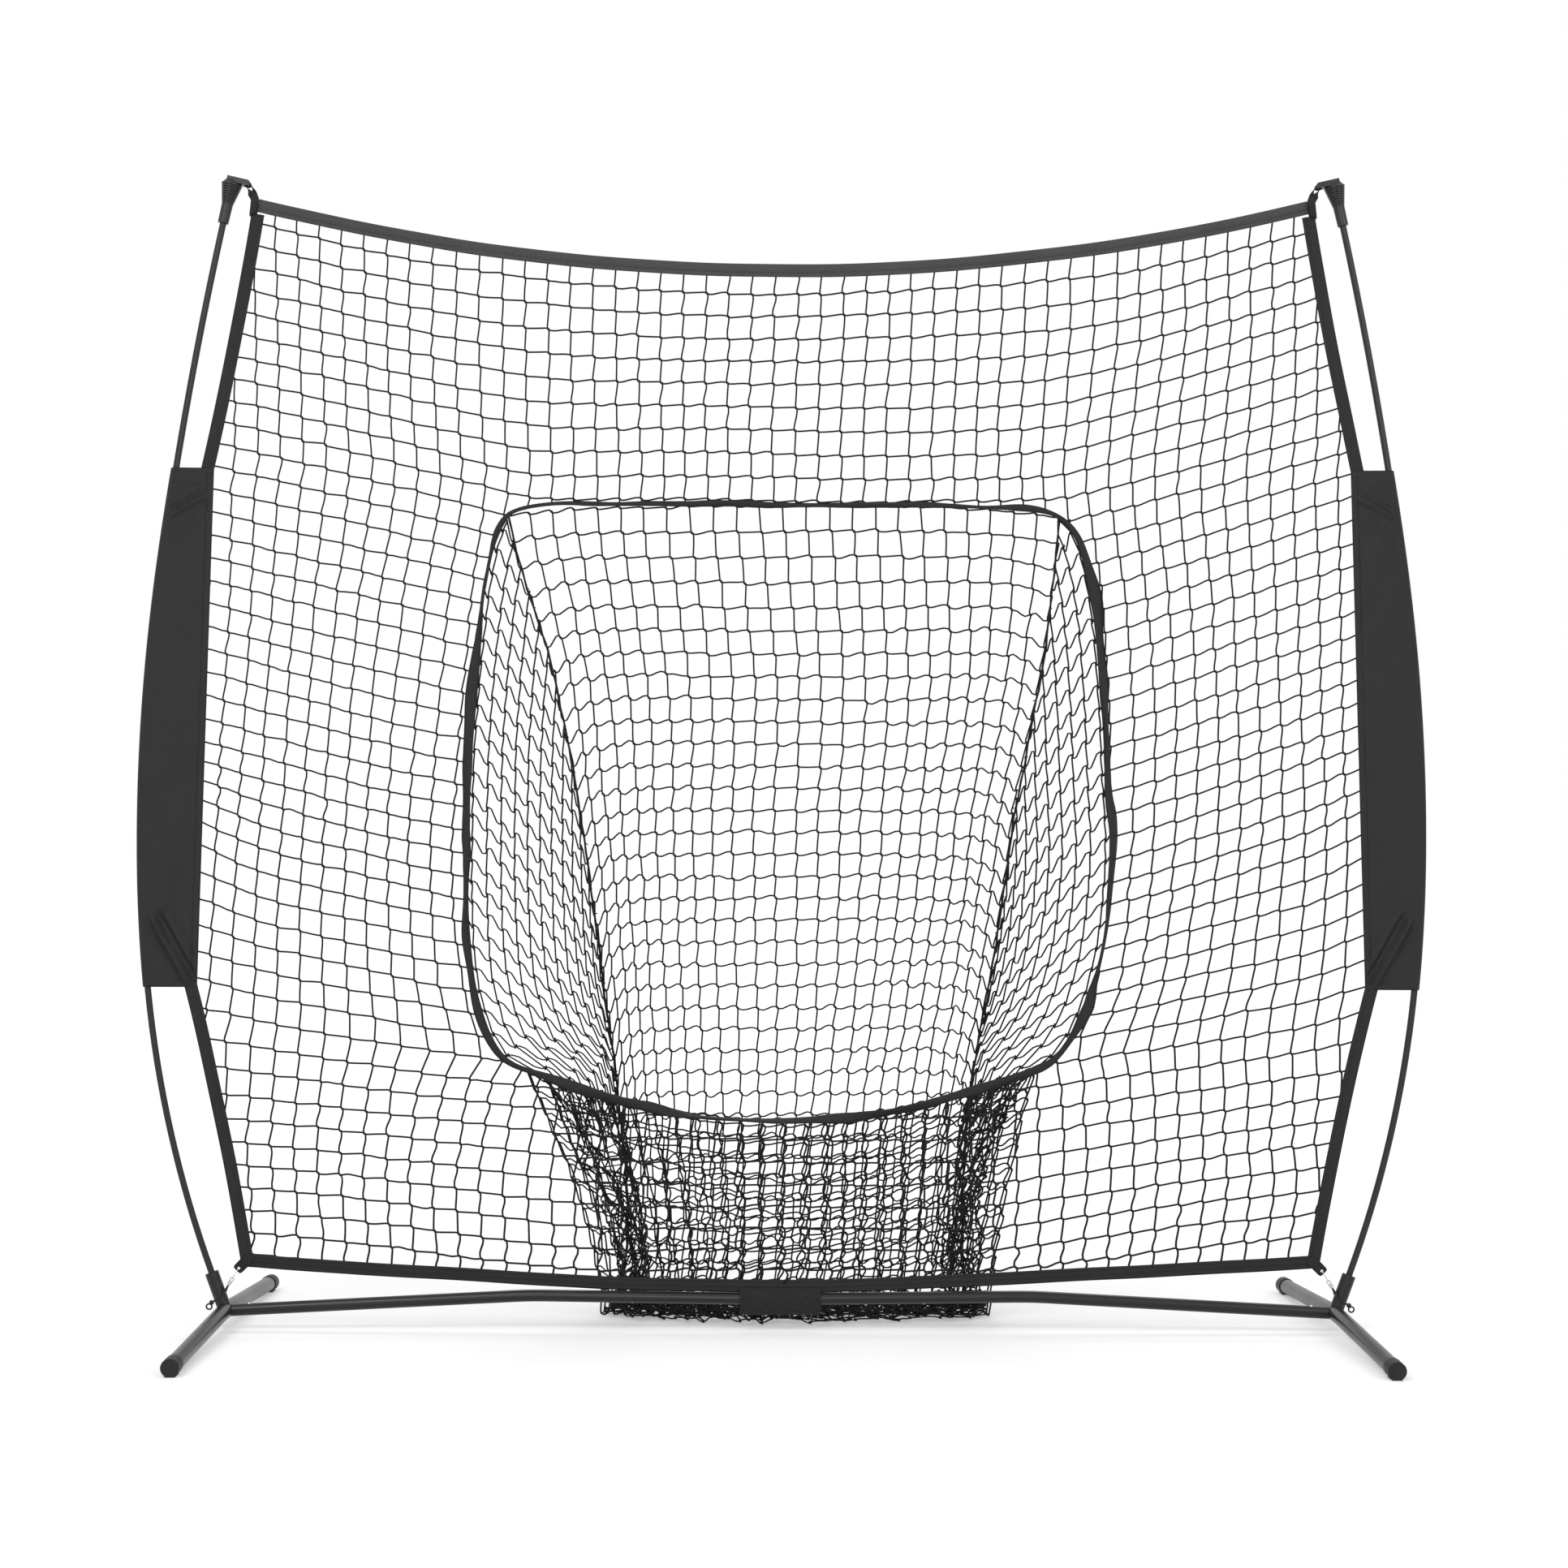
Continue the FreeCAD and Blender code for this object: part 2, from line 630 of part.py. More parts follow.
high_end = flat(sleeve_top[0] + web_lap, sleeve_top[1] - web_end_drops[0])
low_end = flat(sleeve_bottom[0] + web_lap, sleeve_bottom[1] - web_end_drops[1])
net_side = [high_end * (1 - third / 3) + low_end * (third / 3) for third in range(4)]

rows_top = round((top_corner[1] - zone_top[1]) / mesh) - 1
rows_zone = round((zone_top[1] - zone_bottom[1]) / mesh / 3)
rows_bottom = round((zone_bottom[1] - bottom_corner[1]) / mesh)
columns_side = round((net_side[0].x - zone_top[0]) / mesh)
columns_zone = round(2 * zone_top[0] / mesh / 4)

top_joint = flat(tr.x, sag_z(tr.x))
low_middle = zone_parts[5].valueAt(zone_parts[5].LastParameter)
low_quarter = zone_parts[5].valueAt(zone_parts[5].FirstParameter)
far_sides = [(top_joint, flat(0, sag_z(0)), 2 * columns_zone, rows_top),
             (net_side[1], net_side[0], rows_zone, columns_side),
             (net_side[2], net_side[1], rows_zone, columns_side),
             (net_side[3], net_side[2], rows_zone, columns_side),
             (flat(low_quarter.x, bottom_z(low_quarter.x)), flat(br.x, bottom_z(br.x)),
              columns_zone, rows_bottom),
             (flat(0, bottom_z(0)), flat(low_quarter.x, bottom_z(low_quarter.x)),
              columns_zone, rows_bottom - 1)]
panels = [netting([tr, net_side[0], net_corner, top_joint], columns_side, rows_top),
          netting([flat(br.x, bottom_z(br.x)), bottom_right, net_side[3], br],
                  columns_side, rows_bottom)]
for part, (far_end, far_start, across, up) in zip(zone_parts, far_sides):
    near_start = part.valueAt(part.FirstParameter)
    near_end = part.valueAt(part.LastParameter)
    panels.append(netting([near_start, near_end, far_end, far_start], across, up, part))
for panel in panels:
    panel.translate(V(0, twine / 2 - panel.BoundBox.YMax, 0))
save("front_net", panels + [panel.mirror(V(), X_AXIS) for panel in panels])

# ---- Rim of the opening -------------------------------------------------------------------


def zone_ring(grow):
    """Closed outline of the opening's middle line, grown outward by an amount."""
    a = flat(-zone_top[0] - grow, zone_top[1] + grow)
    b = flat(zone_top[0] + grow, zone_top[1] + grow)
    c = flat(zone_bottom[0] + grow, zone_bottom[1] - grow)
    d = flat(-zone_bottom[0] - grow, zone_bottom[1] - grow)
    return Part.Wire([bulged(a, b, zone_crown), bulged(b, c, zone_flank),
                      bulged(c, d, zone_sag), bulged(d, a, zone_flank)])


outer_rim = plate(zone_ring(rim_half), -rim_t / 2, rim_t)
save("opening_rim", outer_rim.cut(plate(zone_ring(-rim_half), -rim_t, 2 * rim_t)))

# ---- Netting sock that catches the ball ---------------------------------------------------
sock_y = rim_t / 2 + soft_gap
top_l = flat(-zone_top[0], zone_top[1], sock_y)
top_r = flat(zone_top[0], zone_top[1], sock_y)
low_l = flat(-zone_bottom[0], zone_bottom[1], sock_y)
low_r = flat(zone_bottom[0], zone_bottom[1], sock_y)
base_bl = V(-sock_base_half, sock_back_y, sock_base_z)
base_br = V(sock_base_half, sock_back_y, sock_base_z)
base_fl = V(-sock_base_half, sock_front_y, sock_base_z)
base_fr = V(sock_base_half, sock_front_y, sock_base_z)
skirt_z = zone_bottom[1] - zone_sag
skirt_l = flat(-sock_base_half, skirt_z, sock_y + twine + soft_gap)
skirt_r = flat(sock_base_half, skirt_z, sock_y + twine + soft_gap)
sock_rows = round((zone_top[1] - sock_base_z) / mesh)
sock_columns = round(2 * sock_base_half / mesh)
save("sock_back", netting([base_br, base_bl, top_l, top_r], sock_columns, sock_rows))
side_columns = round(sock_back_y / mesh)
side_rows = round((zone_top[1] - zone_bottom[1]) / mesh)
side_panels = [netting([low_r, base_br, top_r, top_r], side_columns + 3, side_rows),
               netting([base_fr, base_br, low_r, low_r], 3, round(zone_bottom[1] / mesh))]
save_pair("sock_side", side_panels)
save("sock_skirt", netting([base_fl, base_fr, skirt_r, skirt_l], sock_columns,
                           round(skirt_z / mesh)))
save("sock_floor", netting([base_fl, base_bl, base_br, base_fr], 3, sock_columns))

# ---- Fabric sleeves on the poles ----------------------------------------------------------
sleeve_low = pole_at_height(sleeve_bottom[1])
sleeve_high = pole_at_height(sleeve_top[1])
sleeve_path = pole_path(sleeve_low, sleeve_high)
pocket_bore = swept(pole_path(sleeve_low - pocket_r, sleeve_high + pocket_r), pocket_r)
pocket = swept(sleeve_path, pocket_r + fabric_t)
pole_ends = (pole_point(sleeve_low)[0], pole_point((sleeve_low + sleeve_high) / 2)[0],
             pole_point(sleeve_high)[0])
web_wire = Part.Wire([Part.Arc(*pole_ends).toShape(),
                      Part.makeLine(pole_ends[2], flat(*sleeve_top)),
                      Part.makeLine(flat(*sleeve_top), flat(*sleeve_bottom)),
                      Part.makeLine(flat(*sleeve_bottom), pole_ends[0])])
web = plate(web_wire, tape_front, tape_t)
sleeve = pocket.fuse(web).cut(pocket_bore)
save_pair("pole_sleeve", max(sleeve.Solids, key=lambda solid: solid.Volume))

# ---- Wrap that ties the bottom tape to the bar --------------------------------------------


def wrap_section(grow, top_z):
    """Drop-shaped loop round the bar, grown outward by an amount, closed at its top."""
    side = bar_r + soft_gap + grow
    low_z = bar_mid_z - wrap_hang
    front = tape_front - grow
    back = twine / 2 + grow
    full_z = bar_mid_z + wrap_full_rise
    lines = [Part.makeLine(V(0, -side, low_z), V(0, -side, full_z)),
             Part.makeLine(V(0, -side, full_z), V(0, front, top_z)),
             Part.makeLine(V(0, front, top_z), V(0, back, top_z)),
             Part.makeLine(V(0, back, top_z), V(0, side, full_z)),
             Part.makeLine(V(0, side, full_z), V(0, side, low_z)),
             Part.Arc(V(0, side, low_z), V(0, 0, low_z - side), V(0, -side, low_z)).toShape()]
    face = Part.Face(Part.Wire(lines))
    face.translate(V(-wrap_half, 0, 0))
    return face.extrude(X_AXIS * wrap_length)


wrap_top_z = tape_low_z + tape_half - wrap_seam_drop
wrap = wrap_section(wrap_t, wrap_top_z + wrap_seam_h).cut(wrap_section(0.0, wrap_top_z)).cut(bottom_tape)
for panel in panels:
    wrap = wrap.cut(panel).cut(panel.mirror(V(), X_AXIS))
save("bar_wrap", max(wrap.Solids, key=lambda solid: solid.Volume))

flap_y = bar_r + soft_gap + wrap_t + soft_gap
flap_top_z = bar_mid_z + flap_rise
flap_corner = V(-wrap_half + flap_inset, flap_y, flap_top_z - flap_height)
save("wrap_flap", Part.makeBox(wrap_length - 2 * flap_inset, wrap_t, flap_height, flap_corner))

# ---- Elastic ties at the bottom corners ---------------------------------------------------
tie_y = tape_front - strap_t / 2
tie_hole = bottom_right + flat(*tab_hole_place)
link_down = (hub + flat(*tie_aim) - tie_hole).normalize()
tab_down = (tie_hole - bottom_right).normalize()
tab_side = V(-tab_down.z, 0, tab_down.x)
tab = slab(tie_hole - tab_down * (tab_length / 2 - tab_end), tab_down, tab_side, tab_length, tab_w,
           tape_front - strap_t, strap_t)
save_pair("corner_tab", tab.cut(rod(tie_hole - Y_AXIS * tab_w, Y_AXIS, 2 * tab_w, tab_hole_r)))

link_r = link_d / 2
link_top = tie_hole + Y_AXIS * tie_y + link_down * (link_bow_r - link_seat)
link_end = link_top + link_down * link_length
bow = Y_AXIS * link_bow_r
reach = link_down * link_bow_r
link_path = Part.Wire([Part.Arc(link_top - bow, link_top - reach, link_top + bow).toShape(),
                       Part.makeLine(link_top + bow, link_end + bow),
                       Part.Arc(link_end + bow, link_end + reach, link_end - bow).toShape(),
                       Part.makeLine(link_end - bow, link_top - bow)])
link_profile = Part.Wire(Part.makeCircle(link_r, link_top + bow, link_down))
save_pair("tie_link", link_path.makePipeShell([link_profile], True, True))

eye_middle = link_end + link_down * (link_bow_r + eye_r - link_r - eye_wire_r - soft_gap)
eye = Part.makeTorus(eye_r, eye_wire_r, eye_middle, Y_AXIS)
ferrule_start = eye_middle + link_down * eye_r
ferrule = rod(ferrule_start, link_down, tie_ferrule_length, tie_ferrule_r)
save_pair("tie_ferrule", eye.fuse(ferrule))

tie_r = tie_cord_d / 2
cord_start = ferrule_start + link_down * (tie_ferrule_length + tie_play)
knot = hub + flat(*tie_knot_place)
cords = []
for side in (-1, 1):
    socket_side = side * (socket_r + tie_cord_d + 2 * soft_gap)
    route = [cord_start + V(0, side * (tie_r + tie_cord_gap), 0),
             cord_start + V(4, side * 7.0, -7),
             hub + V(4, socket_side, 27),
             hub + V(17, 0.88 * socket_side, 20),
             knot + V(-0.5, side * 3.0, 0.5)]
    cords.append(swept(bent_path(route, None), tie_r))
knot_ball = Part.makeSphere(tie_knot_r, knot)
save_pair("tie_cords", [cord.cut(knot_ball).Solids[0] for cord in cords])
loop = Part.makeTorus(tie_loop_r, tie_r, knot + flat(*tie_loop_place), Y_AXIS)
save_pair("tie_knot", knot_ball.fuse(loop))
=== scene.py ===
import json
import math

import bpy
import numpy as np
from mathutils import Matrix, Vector


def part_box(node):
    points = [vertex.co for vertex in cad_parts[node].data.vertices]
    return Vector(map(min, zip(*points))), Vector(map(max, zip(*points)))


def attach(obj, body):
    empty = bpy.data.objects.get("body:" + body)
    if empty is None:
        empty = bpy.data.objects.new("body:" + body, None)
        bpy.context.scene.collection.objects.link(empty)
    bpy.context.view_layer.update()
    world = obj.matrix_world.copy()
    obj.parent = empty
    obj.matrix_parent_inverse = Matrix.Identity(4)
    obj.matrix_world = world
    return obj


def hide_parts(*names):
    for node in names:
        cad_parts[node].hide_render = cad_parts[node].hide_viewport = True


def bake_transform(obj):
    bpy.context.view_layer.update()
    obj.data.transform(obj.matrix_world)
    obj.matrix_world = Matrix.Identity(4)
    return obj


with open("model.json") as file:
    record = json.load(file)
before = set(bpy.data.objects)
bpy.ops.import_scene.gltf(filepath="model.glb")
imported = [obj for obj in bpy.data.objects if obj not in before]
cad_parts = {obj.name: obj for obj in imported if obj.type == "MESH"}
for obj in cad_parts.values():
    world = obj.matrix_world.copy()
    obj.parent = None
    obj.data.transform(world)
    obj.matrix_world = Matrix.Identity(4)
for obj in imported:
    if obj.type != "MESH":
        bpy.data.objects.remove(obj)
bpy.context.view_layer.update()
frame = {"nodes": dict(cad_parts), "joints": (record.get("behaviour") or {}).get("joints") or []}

# ---- The stage ----
# The net stands on a plain white floor in front of a white ground. The camera looks straight
# at the netting from a little under half its height, almost level, with the lens shifted.
MM = 0.001
dice = np.random.default_rng(7)
scene = bpy.context.scene
scene.view_settings.view_transform = "Standard"

eye = bpy.data.objects.new("eye", bpy.data.cameras.new("eye"))
scene.collection.objects.link(eye)
eye.location = (-0.0600, -4.770, 0.838)
eye.rotation_euler = (math.radians(90), math.radians(-0.15), 0)
eye.data.lens = 59.25
eye.data.sensor_width = 36
eye.data.shift_x = 0.0224
eye.data.shift_y = 0.0596
eye.data.clip_end = 200
scene.camera = eye


class Shade:
    """A node socket that Python arithmetic can be written on."""

    def __init__(self, tree, socket=None):
        self.tree = tree
        self.socket = socket

    def node(self, kind, settings=None, sockets=None, out=0):
        """Add a node: its settings first, then its sockets' values or links."""
        made = self.tree.nodes.new(kind)
        for name, value in (settings or {}).items():
            setattr(made, name, value)
        for name, value in (sockets or {}).items():
            if isinstance(value, Shade):
                self.tree.links.new(value.socket, made.inputs[name])
            else:
                made.inputs[name].default_value = value
        return Shade(self.tree, made.outputs[out] if made.outputs else None)

    def maths(self, operation, first, second=0.0):
        return self.node("ShaderNodeMath", {"operation": operation}, {0: first, 1: second})

    def __add__(self, other):
        return self.maths("ADD", self, other)

    def __rsub__(self, other):
        return self.maths("SUBTRACT", other, self)

    def __mul__(self, other):
        return self.maths("MULTIPLY", self, other)

    def sin(self):
        return self.maths("SINE", self)

    def pick(self, low, high):
        """Blend two grey tones by this value."""
        return self.node("ShaderNodeMix", {"data_type": "RGBA"},
                         {0: self, 6: (low, low, low, 1), 7: (high, high, high, 1)}, 2)

    def noise(self, scale, detail, place=None):
        place = place or self.node("ShaderNodeTexCoord", out="Object")
        return self.node("ShaderNodeTexNoise", None, {"Vector": place, "Scale": scale, "Detail": detail})

    def wave(self, scale, distortion, bands="X"):
        place = self.node("ShaderNodeTexCoord", out="Object")
        return self.node("ShaderNodeTexWave", {"bands_direction": bands},
                         {"Vector": place, "Scale": scale, "Distortion": distortion})

    def bump(self, strength, distance):
        """Relief that has this value for its height."""
        return self.node("ShaderNodeBump", None, {"Height": self, "Strength": strength, "Distance": distance})


def emptied(owner):
    """Start of a new node tree on a material or a world."""
    owner.use_nodes = True
    owner.node_tree.nodes.clear()
    return Shade(owner.node_tree)


def white_floor(paint_tone, near_glow, far_glow, reach):
    """White floor that takes the object's soft shadow and glows by itself past the lamps' reach."""
    mesh = bpy.data.meshes.new("floor")
    mesh.from_pydata([(-60, -60, 0), (60, -60, 0), (60, 60, 0), (-60, 60, 0)], [], [(0, 1, 2, 3)])
    floor = bpy.data.objects.new("floor", mesh)
    scene.collection.objects.link(floor)
    material = bpy.data.materials.new("white_floor")
    start = emptied(material)
    seen = start.node("ShaderNodeLightPath", out="Is Camera Ray")
    glossy = start.node("ShaderNodeLightPath", out="Is Glossy Ray")
    paint = start.node("ShaderNodeBsdfDiffuse", None, {"Color": (paint_tone, paint_tone, paint_tone, 1)})
    place = start.node("ShaderNodeTexCoord", out="Object")
    away = start.node("ShaderNodeVectorMath", {"operation": "LENGTH"}, {0: place}, "Value") * (1 / reach)
    glow = (1 - start.maths("EXPONENT", away * away * -1)).pick(near_glow, far_glow)
    light = start.node("ShaderNodeEmission", None, {"Color": glow, "Strength": seen + glossy})
    mixed = start.node("ShaderNodeAddShader", None, {0: paint, 1: light})
    start.node("ShaderNodeOutputMaterial", None, {"Surface": mixed})
    mesh.materials.append(material)


def white_world(plain):
    """World that lights the object plainly and looks white straight, in gloss and through glass."""
    world = bpy.data.worlds.new("white_world")
    scene.world = world
    start = emptied(world)
    seen, glossy, through = (start.node("ShaderNodeLightPath", out=f"Is {ray} Ray")
                             for ray in ("Camera", "Glossy", "Transmission"))
    strength = (seen + glossy + through) * (1 - plain) + plain
    sky = start.node("ShaderNodeBackground", None, {"Color": (1, 1, 1, 1), "Strength": strength})
    start.node("ShaderNodeOutputWorld", None, {"Surface": sky})


def lamp(name, place, aim, size, power):
    """Soft rectangular lamp: places in metres, power in watts."""
    light = bpy.data.objects.new(name, bpy.data.lights.new(name, "AREA"))
    light.data.shape = "RECTANGLE"
    light.data.size, light.data.size_y = size
    light.data.energy = power
    light.location = place
    light.rotation_euler = (Vector(aim) - Vector(place)).to_track_quat("-Z", "Y").to_euler()
    scene.collection.objects.link(light)


white_floor(paint_tone=0.75, near_glow=0.31, far_glow=0.62, reach=4.5)
white_world(plain=0.6)
lamp("key", (-2.4, -4.0, 4.6), (0, 0, 0.9), (2.4, 2.4), 110)
lamp("fill", (3.4, -3.6, 3.2), (0, 0, 0.9), (2.0, 3.0), 60)
lamp("front", (-0.3, -5.3, 2.0), (0, 0, 1.2), (1.2, 1.8), 40)
lamp("back", (0.4, 3.4, 4.6), (0, 0, 1.0), (3.0, 1.6), 60)

# ---- Steel base ----
# Two bent foot tubes with welded sockets and stubs, and the base bar in two swaged halves.
# All are drawn steel tube under a satin black powder coat, faintly pebbled.
SIDES = {"left_": -1, "right_": 1}


def finish(name, tone, rough, pattern, **fixed):
    """Grey material on one Principled shader; pattern gives what changes over the surface."""
    material = bpy.data.materials.new(name)
    material.use_nodes = True
    tree = material.node_tree
    shader = tree.nodes["Principled BSDF"]
    shader.inputs["Base Color"].default_value = (tone, tone, tone, 1)
    shader.inputs["Roughness"].default_value = rough
    for socket, value in fixed.items():
        shader.inputs[socket.replace("_", " ")].default_value = value
    for socket, value in pattern(Shade(tree)).items():
        tree.links.new(value.socket, shader.inputs[socket.replace("_", " ")])
    return material


def worn(cloud, rough, tones, relief=None, grain=(), wave=()):
    """Pattern of a broad noise (scale, detail) that changes roughness (by, from) and tone.

    A relief (strength, depth) comes from a finer noise, or from a wave for twisted fibres.
    """
    def pattern(s):
        broad = s.noise(*cloud)
        look = {"Roughness": broad * rough[0] + rough[1], "Base_Color": broad.pick(*tones)}
        if relief:
            look["Normal"] = (s.wave(*wave) if wave else s.noise(*grain)).bump(*relief)
        return look
    return pattern


def dress(material, *nodes):
    """Give CAD nodes, or the nodes of both sides, a material in all their slots."""
    for node in nodes:
        for name in [node] if node in frame["nodes"] else [side + node for side in SIDES]:
            part = frame["nodes"][name]
            if not part.material_slots:
                part.data.materials.append(material)
            for slot in part.material_slots:
                slot.material = material


powder = worn((9.0, 6.0), (0.14, 0.24), (0.005, 0.013), relief=(0.12, 0.0006), grain=(420.0, 2.0))
powder_black = finish("powder_black", 0.009, 0.31, powder, Specular_IOR_Level=0.36)
dress(powder_black, "foot_tube", "pole_socket", "bar_stub", "base_bar")

# ---- Foot caps ----
# Moulded rubber caps pushed on the ends of the foot tubes, flat underneath.
rubber = worn((25.0, 4.0), (0.14, 0.48), (0.006, 0.016), relief=(0.25, 0.0004), grain=(700.0, 3.0))
cap_rubber = finish("cap_rubber", 0.012, 0.55, rubber, Specular_IOR_Level=0.3)
dress(cap_rubber, "front_foot_cap", "rear_foot_cap")

# ---- Socket bushes, snap buttons and springs ----
# Black nylon bushes centre the poles in their sockets. Zinc-plated snap buttons hold the
# bar's joints, each on a leaf spring folded inside the swaged end. Each spring is drawn as a
# fixed copy of its mesh, and the spring part itself is hidden.
nylon_skin = worn((25.0, 4.0), (0.14, 0.35), (0.006, 0.016), relief=(0.25, 0.0003), grain=(520.0, 3.0))
nylon = finish("nylon", 0.012, 0.42, nylon_skin, Specular_IOR_Level=0.3)
dress(nylon, "socket_bush")
plated = worn((160.0, 5.0), (0.25, 0.18), (0.50, 0.75))
zinc = finish("zinc", 0.7, 0.3, plated, Metallic=1.0)
dress(zinc, "snap_button", "snap_spring", "middle_snap_button", "middle_snap_spring")

for joint in frame["joints"]:
    if joint["child"].endswith("_button"):
        spring = joint["child"].replace("_button", "_snap_spring")
        leaf = bpy.data.objects.new(spring.replace("snap", "leaf"), frame["nodes"][spring].data.copy())
        scene.collection.objects.link(leaf)
        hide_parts(spring)
        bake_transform(leaf)


# ---- Poles ----
# Solid black fibreglass rods in three sections, with faint lengthwise streaks from drawing.
# Black-coated steel ferrules join the sections.
def drawn_rod(s):
    place = s.node("ShaderNodeTexCoord", out="Object")
    streak = s.noise(2.0, 3.0, s.node("ShaderNodeMapping", None, {"Vector": place, "Scale": (240.0, 240.0, 5.0)}))
    return {"Roughness": streak * 0.20 + 0.24, "Base_Color": streak.pick(0.006, 0.016),
            "Normal": streak.bump(0.1, 0.0003)}


fibreglass = finish("fibreglass", 0.011, 0.34, drawn_rod, Specular_IOR_Level=0.35)
dress(fibreglass, "pole_lower", "pole_middle", "pole_upper")
dress(powder_black, "pole_ferrules")

# ---- Pole caps ----
# Injection-moulded caps of black polypropylene with nine grip ribs and an arm on the inner
# side, lightly scuffed.
scuffed = worn((60.0, 6.0), (0.2, 0.26), (0.006, 0.018), relief=(0.2, 0.0003), grain=(600.0, 2.0))
polypropylene = finish("polypropylene", 0.012, 0.36, scuffed, Specular_IOR_Level=0.4)
dress(polypropylene, "pole_cap")

# ---- Front netting ----
# Square knotted netting of black polyester twine, hung in the frame of tapes and cut out
# round the opening. Each row leaves its knot low and each column to the right.
bar = 42.3                      # knot to knot
twine_r = 1.6
half_top = 971.0
corner_z = 2078.0
top_sag = 119.0
top_row_z = 1958.0              # first whole row under the top tape's middle
floor_clear = 0.5


def add_mesh(name, points, faces, material, slot, *nodes):
    """Smooth mesh in millimetres that rides on the frame and stands for these CAD nodes."""
    mesh = bpy.data.meshes.new(name)
    mesh.from_pydata((points * MM).tolist(), [], faces)
    mesh.polygons.foreach_set("use_smooth", [True] * len(mesh.polygons))
    mesh.materials.append(material)
    piece = bpy.data.objects.new(name, mesh)
    scene.collection.objects.link(piece)
    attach(piece, "frame")
    if nodes:
        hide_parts(*nodes)
    return piece


def add_strands(name, shapes, material, slot, *nodes):
    """Piece of several tubes' points and faces, kept above the floor."""
    points = np.concatenate([shape[0] for shape in shapes])
    points[:, 2] = np.maximum(points[:, 2], floor_clear)
    first = np.cumsum([0] + [len(shape[0]) for shape in shapes])
    faces = np.concatenate([shape[1] + start for shape, start in zip(shapes, first)])
    return add_mesh(name, points, faces.tolist(), material, slot, *nodes)


def run_along(points):
    """Distance along a line to each of its points."""
    return np.concatenate([[0], np.cumsum(np.linalg.norm(np.diff(points, axis=0), axis=1))])


def smooth_path(points, count, ends=True):
    """Evenly spaced points on a line through some points."""
    points = np.asarray(points, float)
    run = run_along(points)
    spots = np.linspace(0, run[-1], count, endpoint=ends)
    return np.stack([np.interp(spots, run, points[:, k]) for k in range(points.shape[1])], 1)


def tubes(paths, radius, sides=4):
    """Points and faces of round strands; paths is (strands, stations, 3) in millimetres."""
    strands, stations, _ = paths.shape
    along = np.gradient(paths, axis=1)
    along = along / (np.linalg.norm(along, axis=2, keepdims=True) + 1e-9)
    first = np.cross(along, (0.21, 0.93, 0.30))
    first = first / (np.linalg.norm(first, axis=2, keepdims=True) + 1e-9)
    second = np.cross(along, first)
    turn = np.arange(sides)[:, None] * (2 * math.pi / sides)
    spread = np.broadcast_to(radius, (strands, stations))[:, :, None, None]
    rings = paths[:, :, None] + spread * (first[:, :, None] * np.cos(turn) + second[:, :, None] * np.sin(turn))
    number = np.arange(strands * stations * sides).reshape(strands, stations, sides)
    low = number[:, :-1]
    high = number[:, 1:]
    walls = np.stack([low, np.roll(low, -1, 2), np.roll(high, -1, 2), high], -1).reshape(-1, 4)
    return rings.reshape(-1, 3), walls


# A strand's way from knot to knot: it turns out of one on the side it leaves by, runs nearly
# straight and turns in to the next from the other side.
strand_spots = np.array([0, 0.05, 0.12, 0.30, 0.50, 0.70, 0.87, 0.95, 1.0])
strand_turns = np.array([0, 0.7, 0.9, 0.35, -0.25, -0.85, -1.4, -1.2, 0.0])


def strands(start, end, leaving, share=None, sway=1.1, loose=1.0, ease=0.0):
    """Strands between knots. They leave by one side, slack lets them bow, ease levels steep ones."""
    span = end - start
    length = np.linalg.norm(span, axis=1) + 1e-6
    full = bar * (np.ones(len(start)) if share is None else share)
    slack = length / math.pi * np.sqrt(np.clip(full / length - 1, 0, 2.0))
    side = np.asarray(leaving, float)
    slope = span @ side
    lean = np.where(np.abs(slope) > 4, -np.sign(slope), 1.0)
    swing = lean * loose * slack * dice.uniform(0.3, 0.85, len(start)) - slope / (2 * math.pi) * ease
    turned = sway * dice.uniform(0.6, 1.4, len(start)) * np.minimum(1, length / bar)
    bow = loose * slack * dice.normal(0, 0.55, len(start)) + dice.normal(0, 0.3, len(start))
    deep = loose * slack * dice.normal(0, 0.6, len(start))
    t = strand_spots
    shift = turned[:, None] * strand_turns + swing[:, None] * np.sin(2 * math.pi * t)
    shift = shift + bow[:, None] * np.sin(math.pi * t)
    path = start[:, None] + span[:, None] * t[:, None] + side * shift[:, :, None]
    return path + np.array((0, 1.0, 0)) * (deep[:, None] * np.sin(math.pi * t))[:, :, None]


def nodules(knots, size=2.5, lean=-0.75, stretch=1.35):
    """Hard little knots, each longer than wide and laid over to one side."""
    tilt = dice.normal(lean, 0.2, len(knots))
    way = np.stack([np.cos(tilt), dice.normal(0, 0.2, len(knots)), np.sin(tilt)], 1)
    t = np.linspace(-1, 1, 4)[None, :, None]
    return tubes(knots[:, None] + way[:, None] * t * size * stretch, np.array([0.45, 1, 1, 0.45]) * size, 5)


def ripple(x, z, size, seed):
    """Small smooth irregularity over the netting."""
    made = np.random.default_rng(seed)
    total = 0
    for _ in range(5):
        turns = made.uniform(-0.012, 0.012, 2)
        total = total + np.sin(turns[0] * x + turns[1] * z + made.uniform(0, 6.3))
    return total * size / 2.2


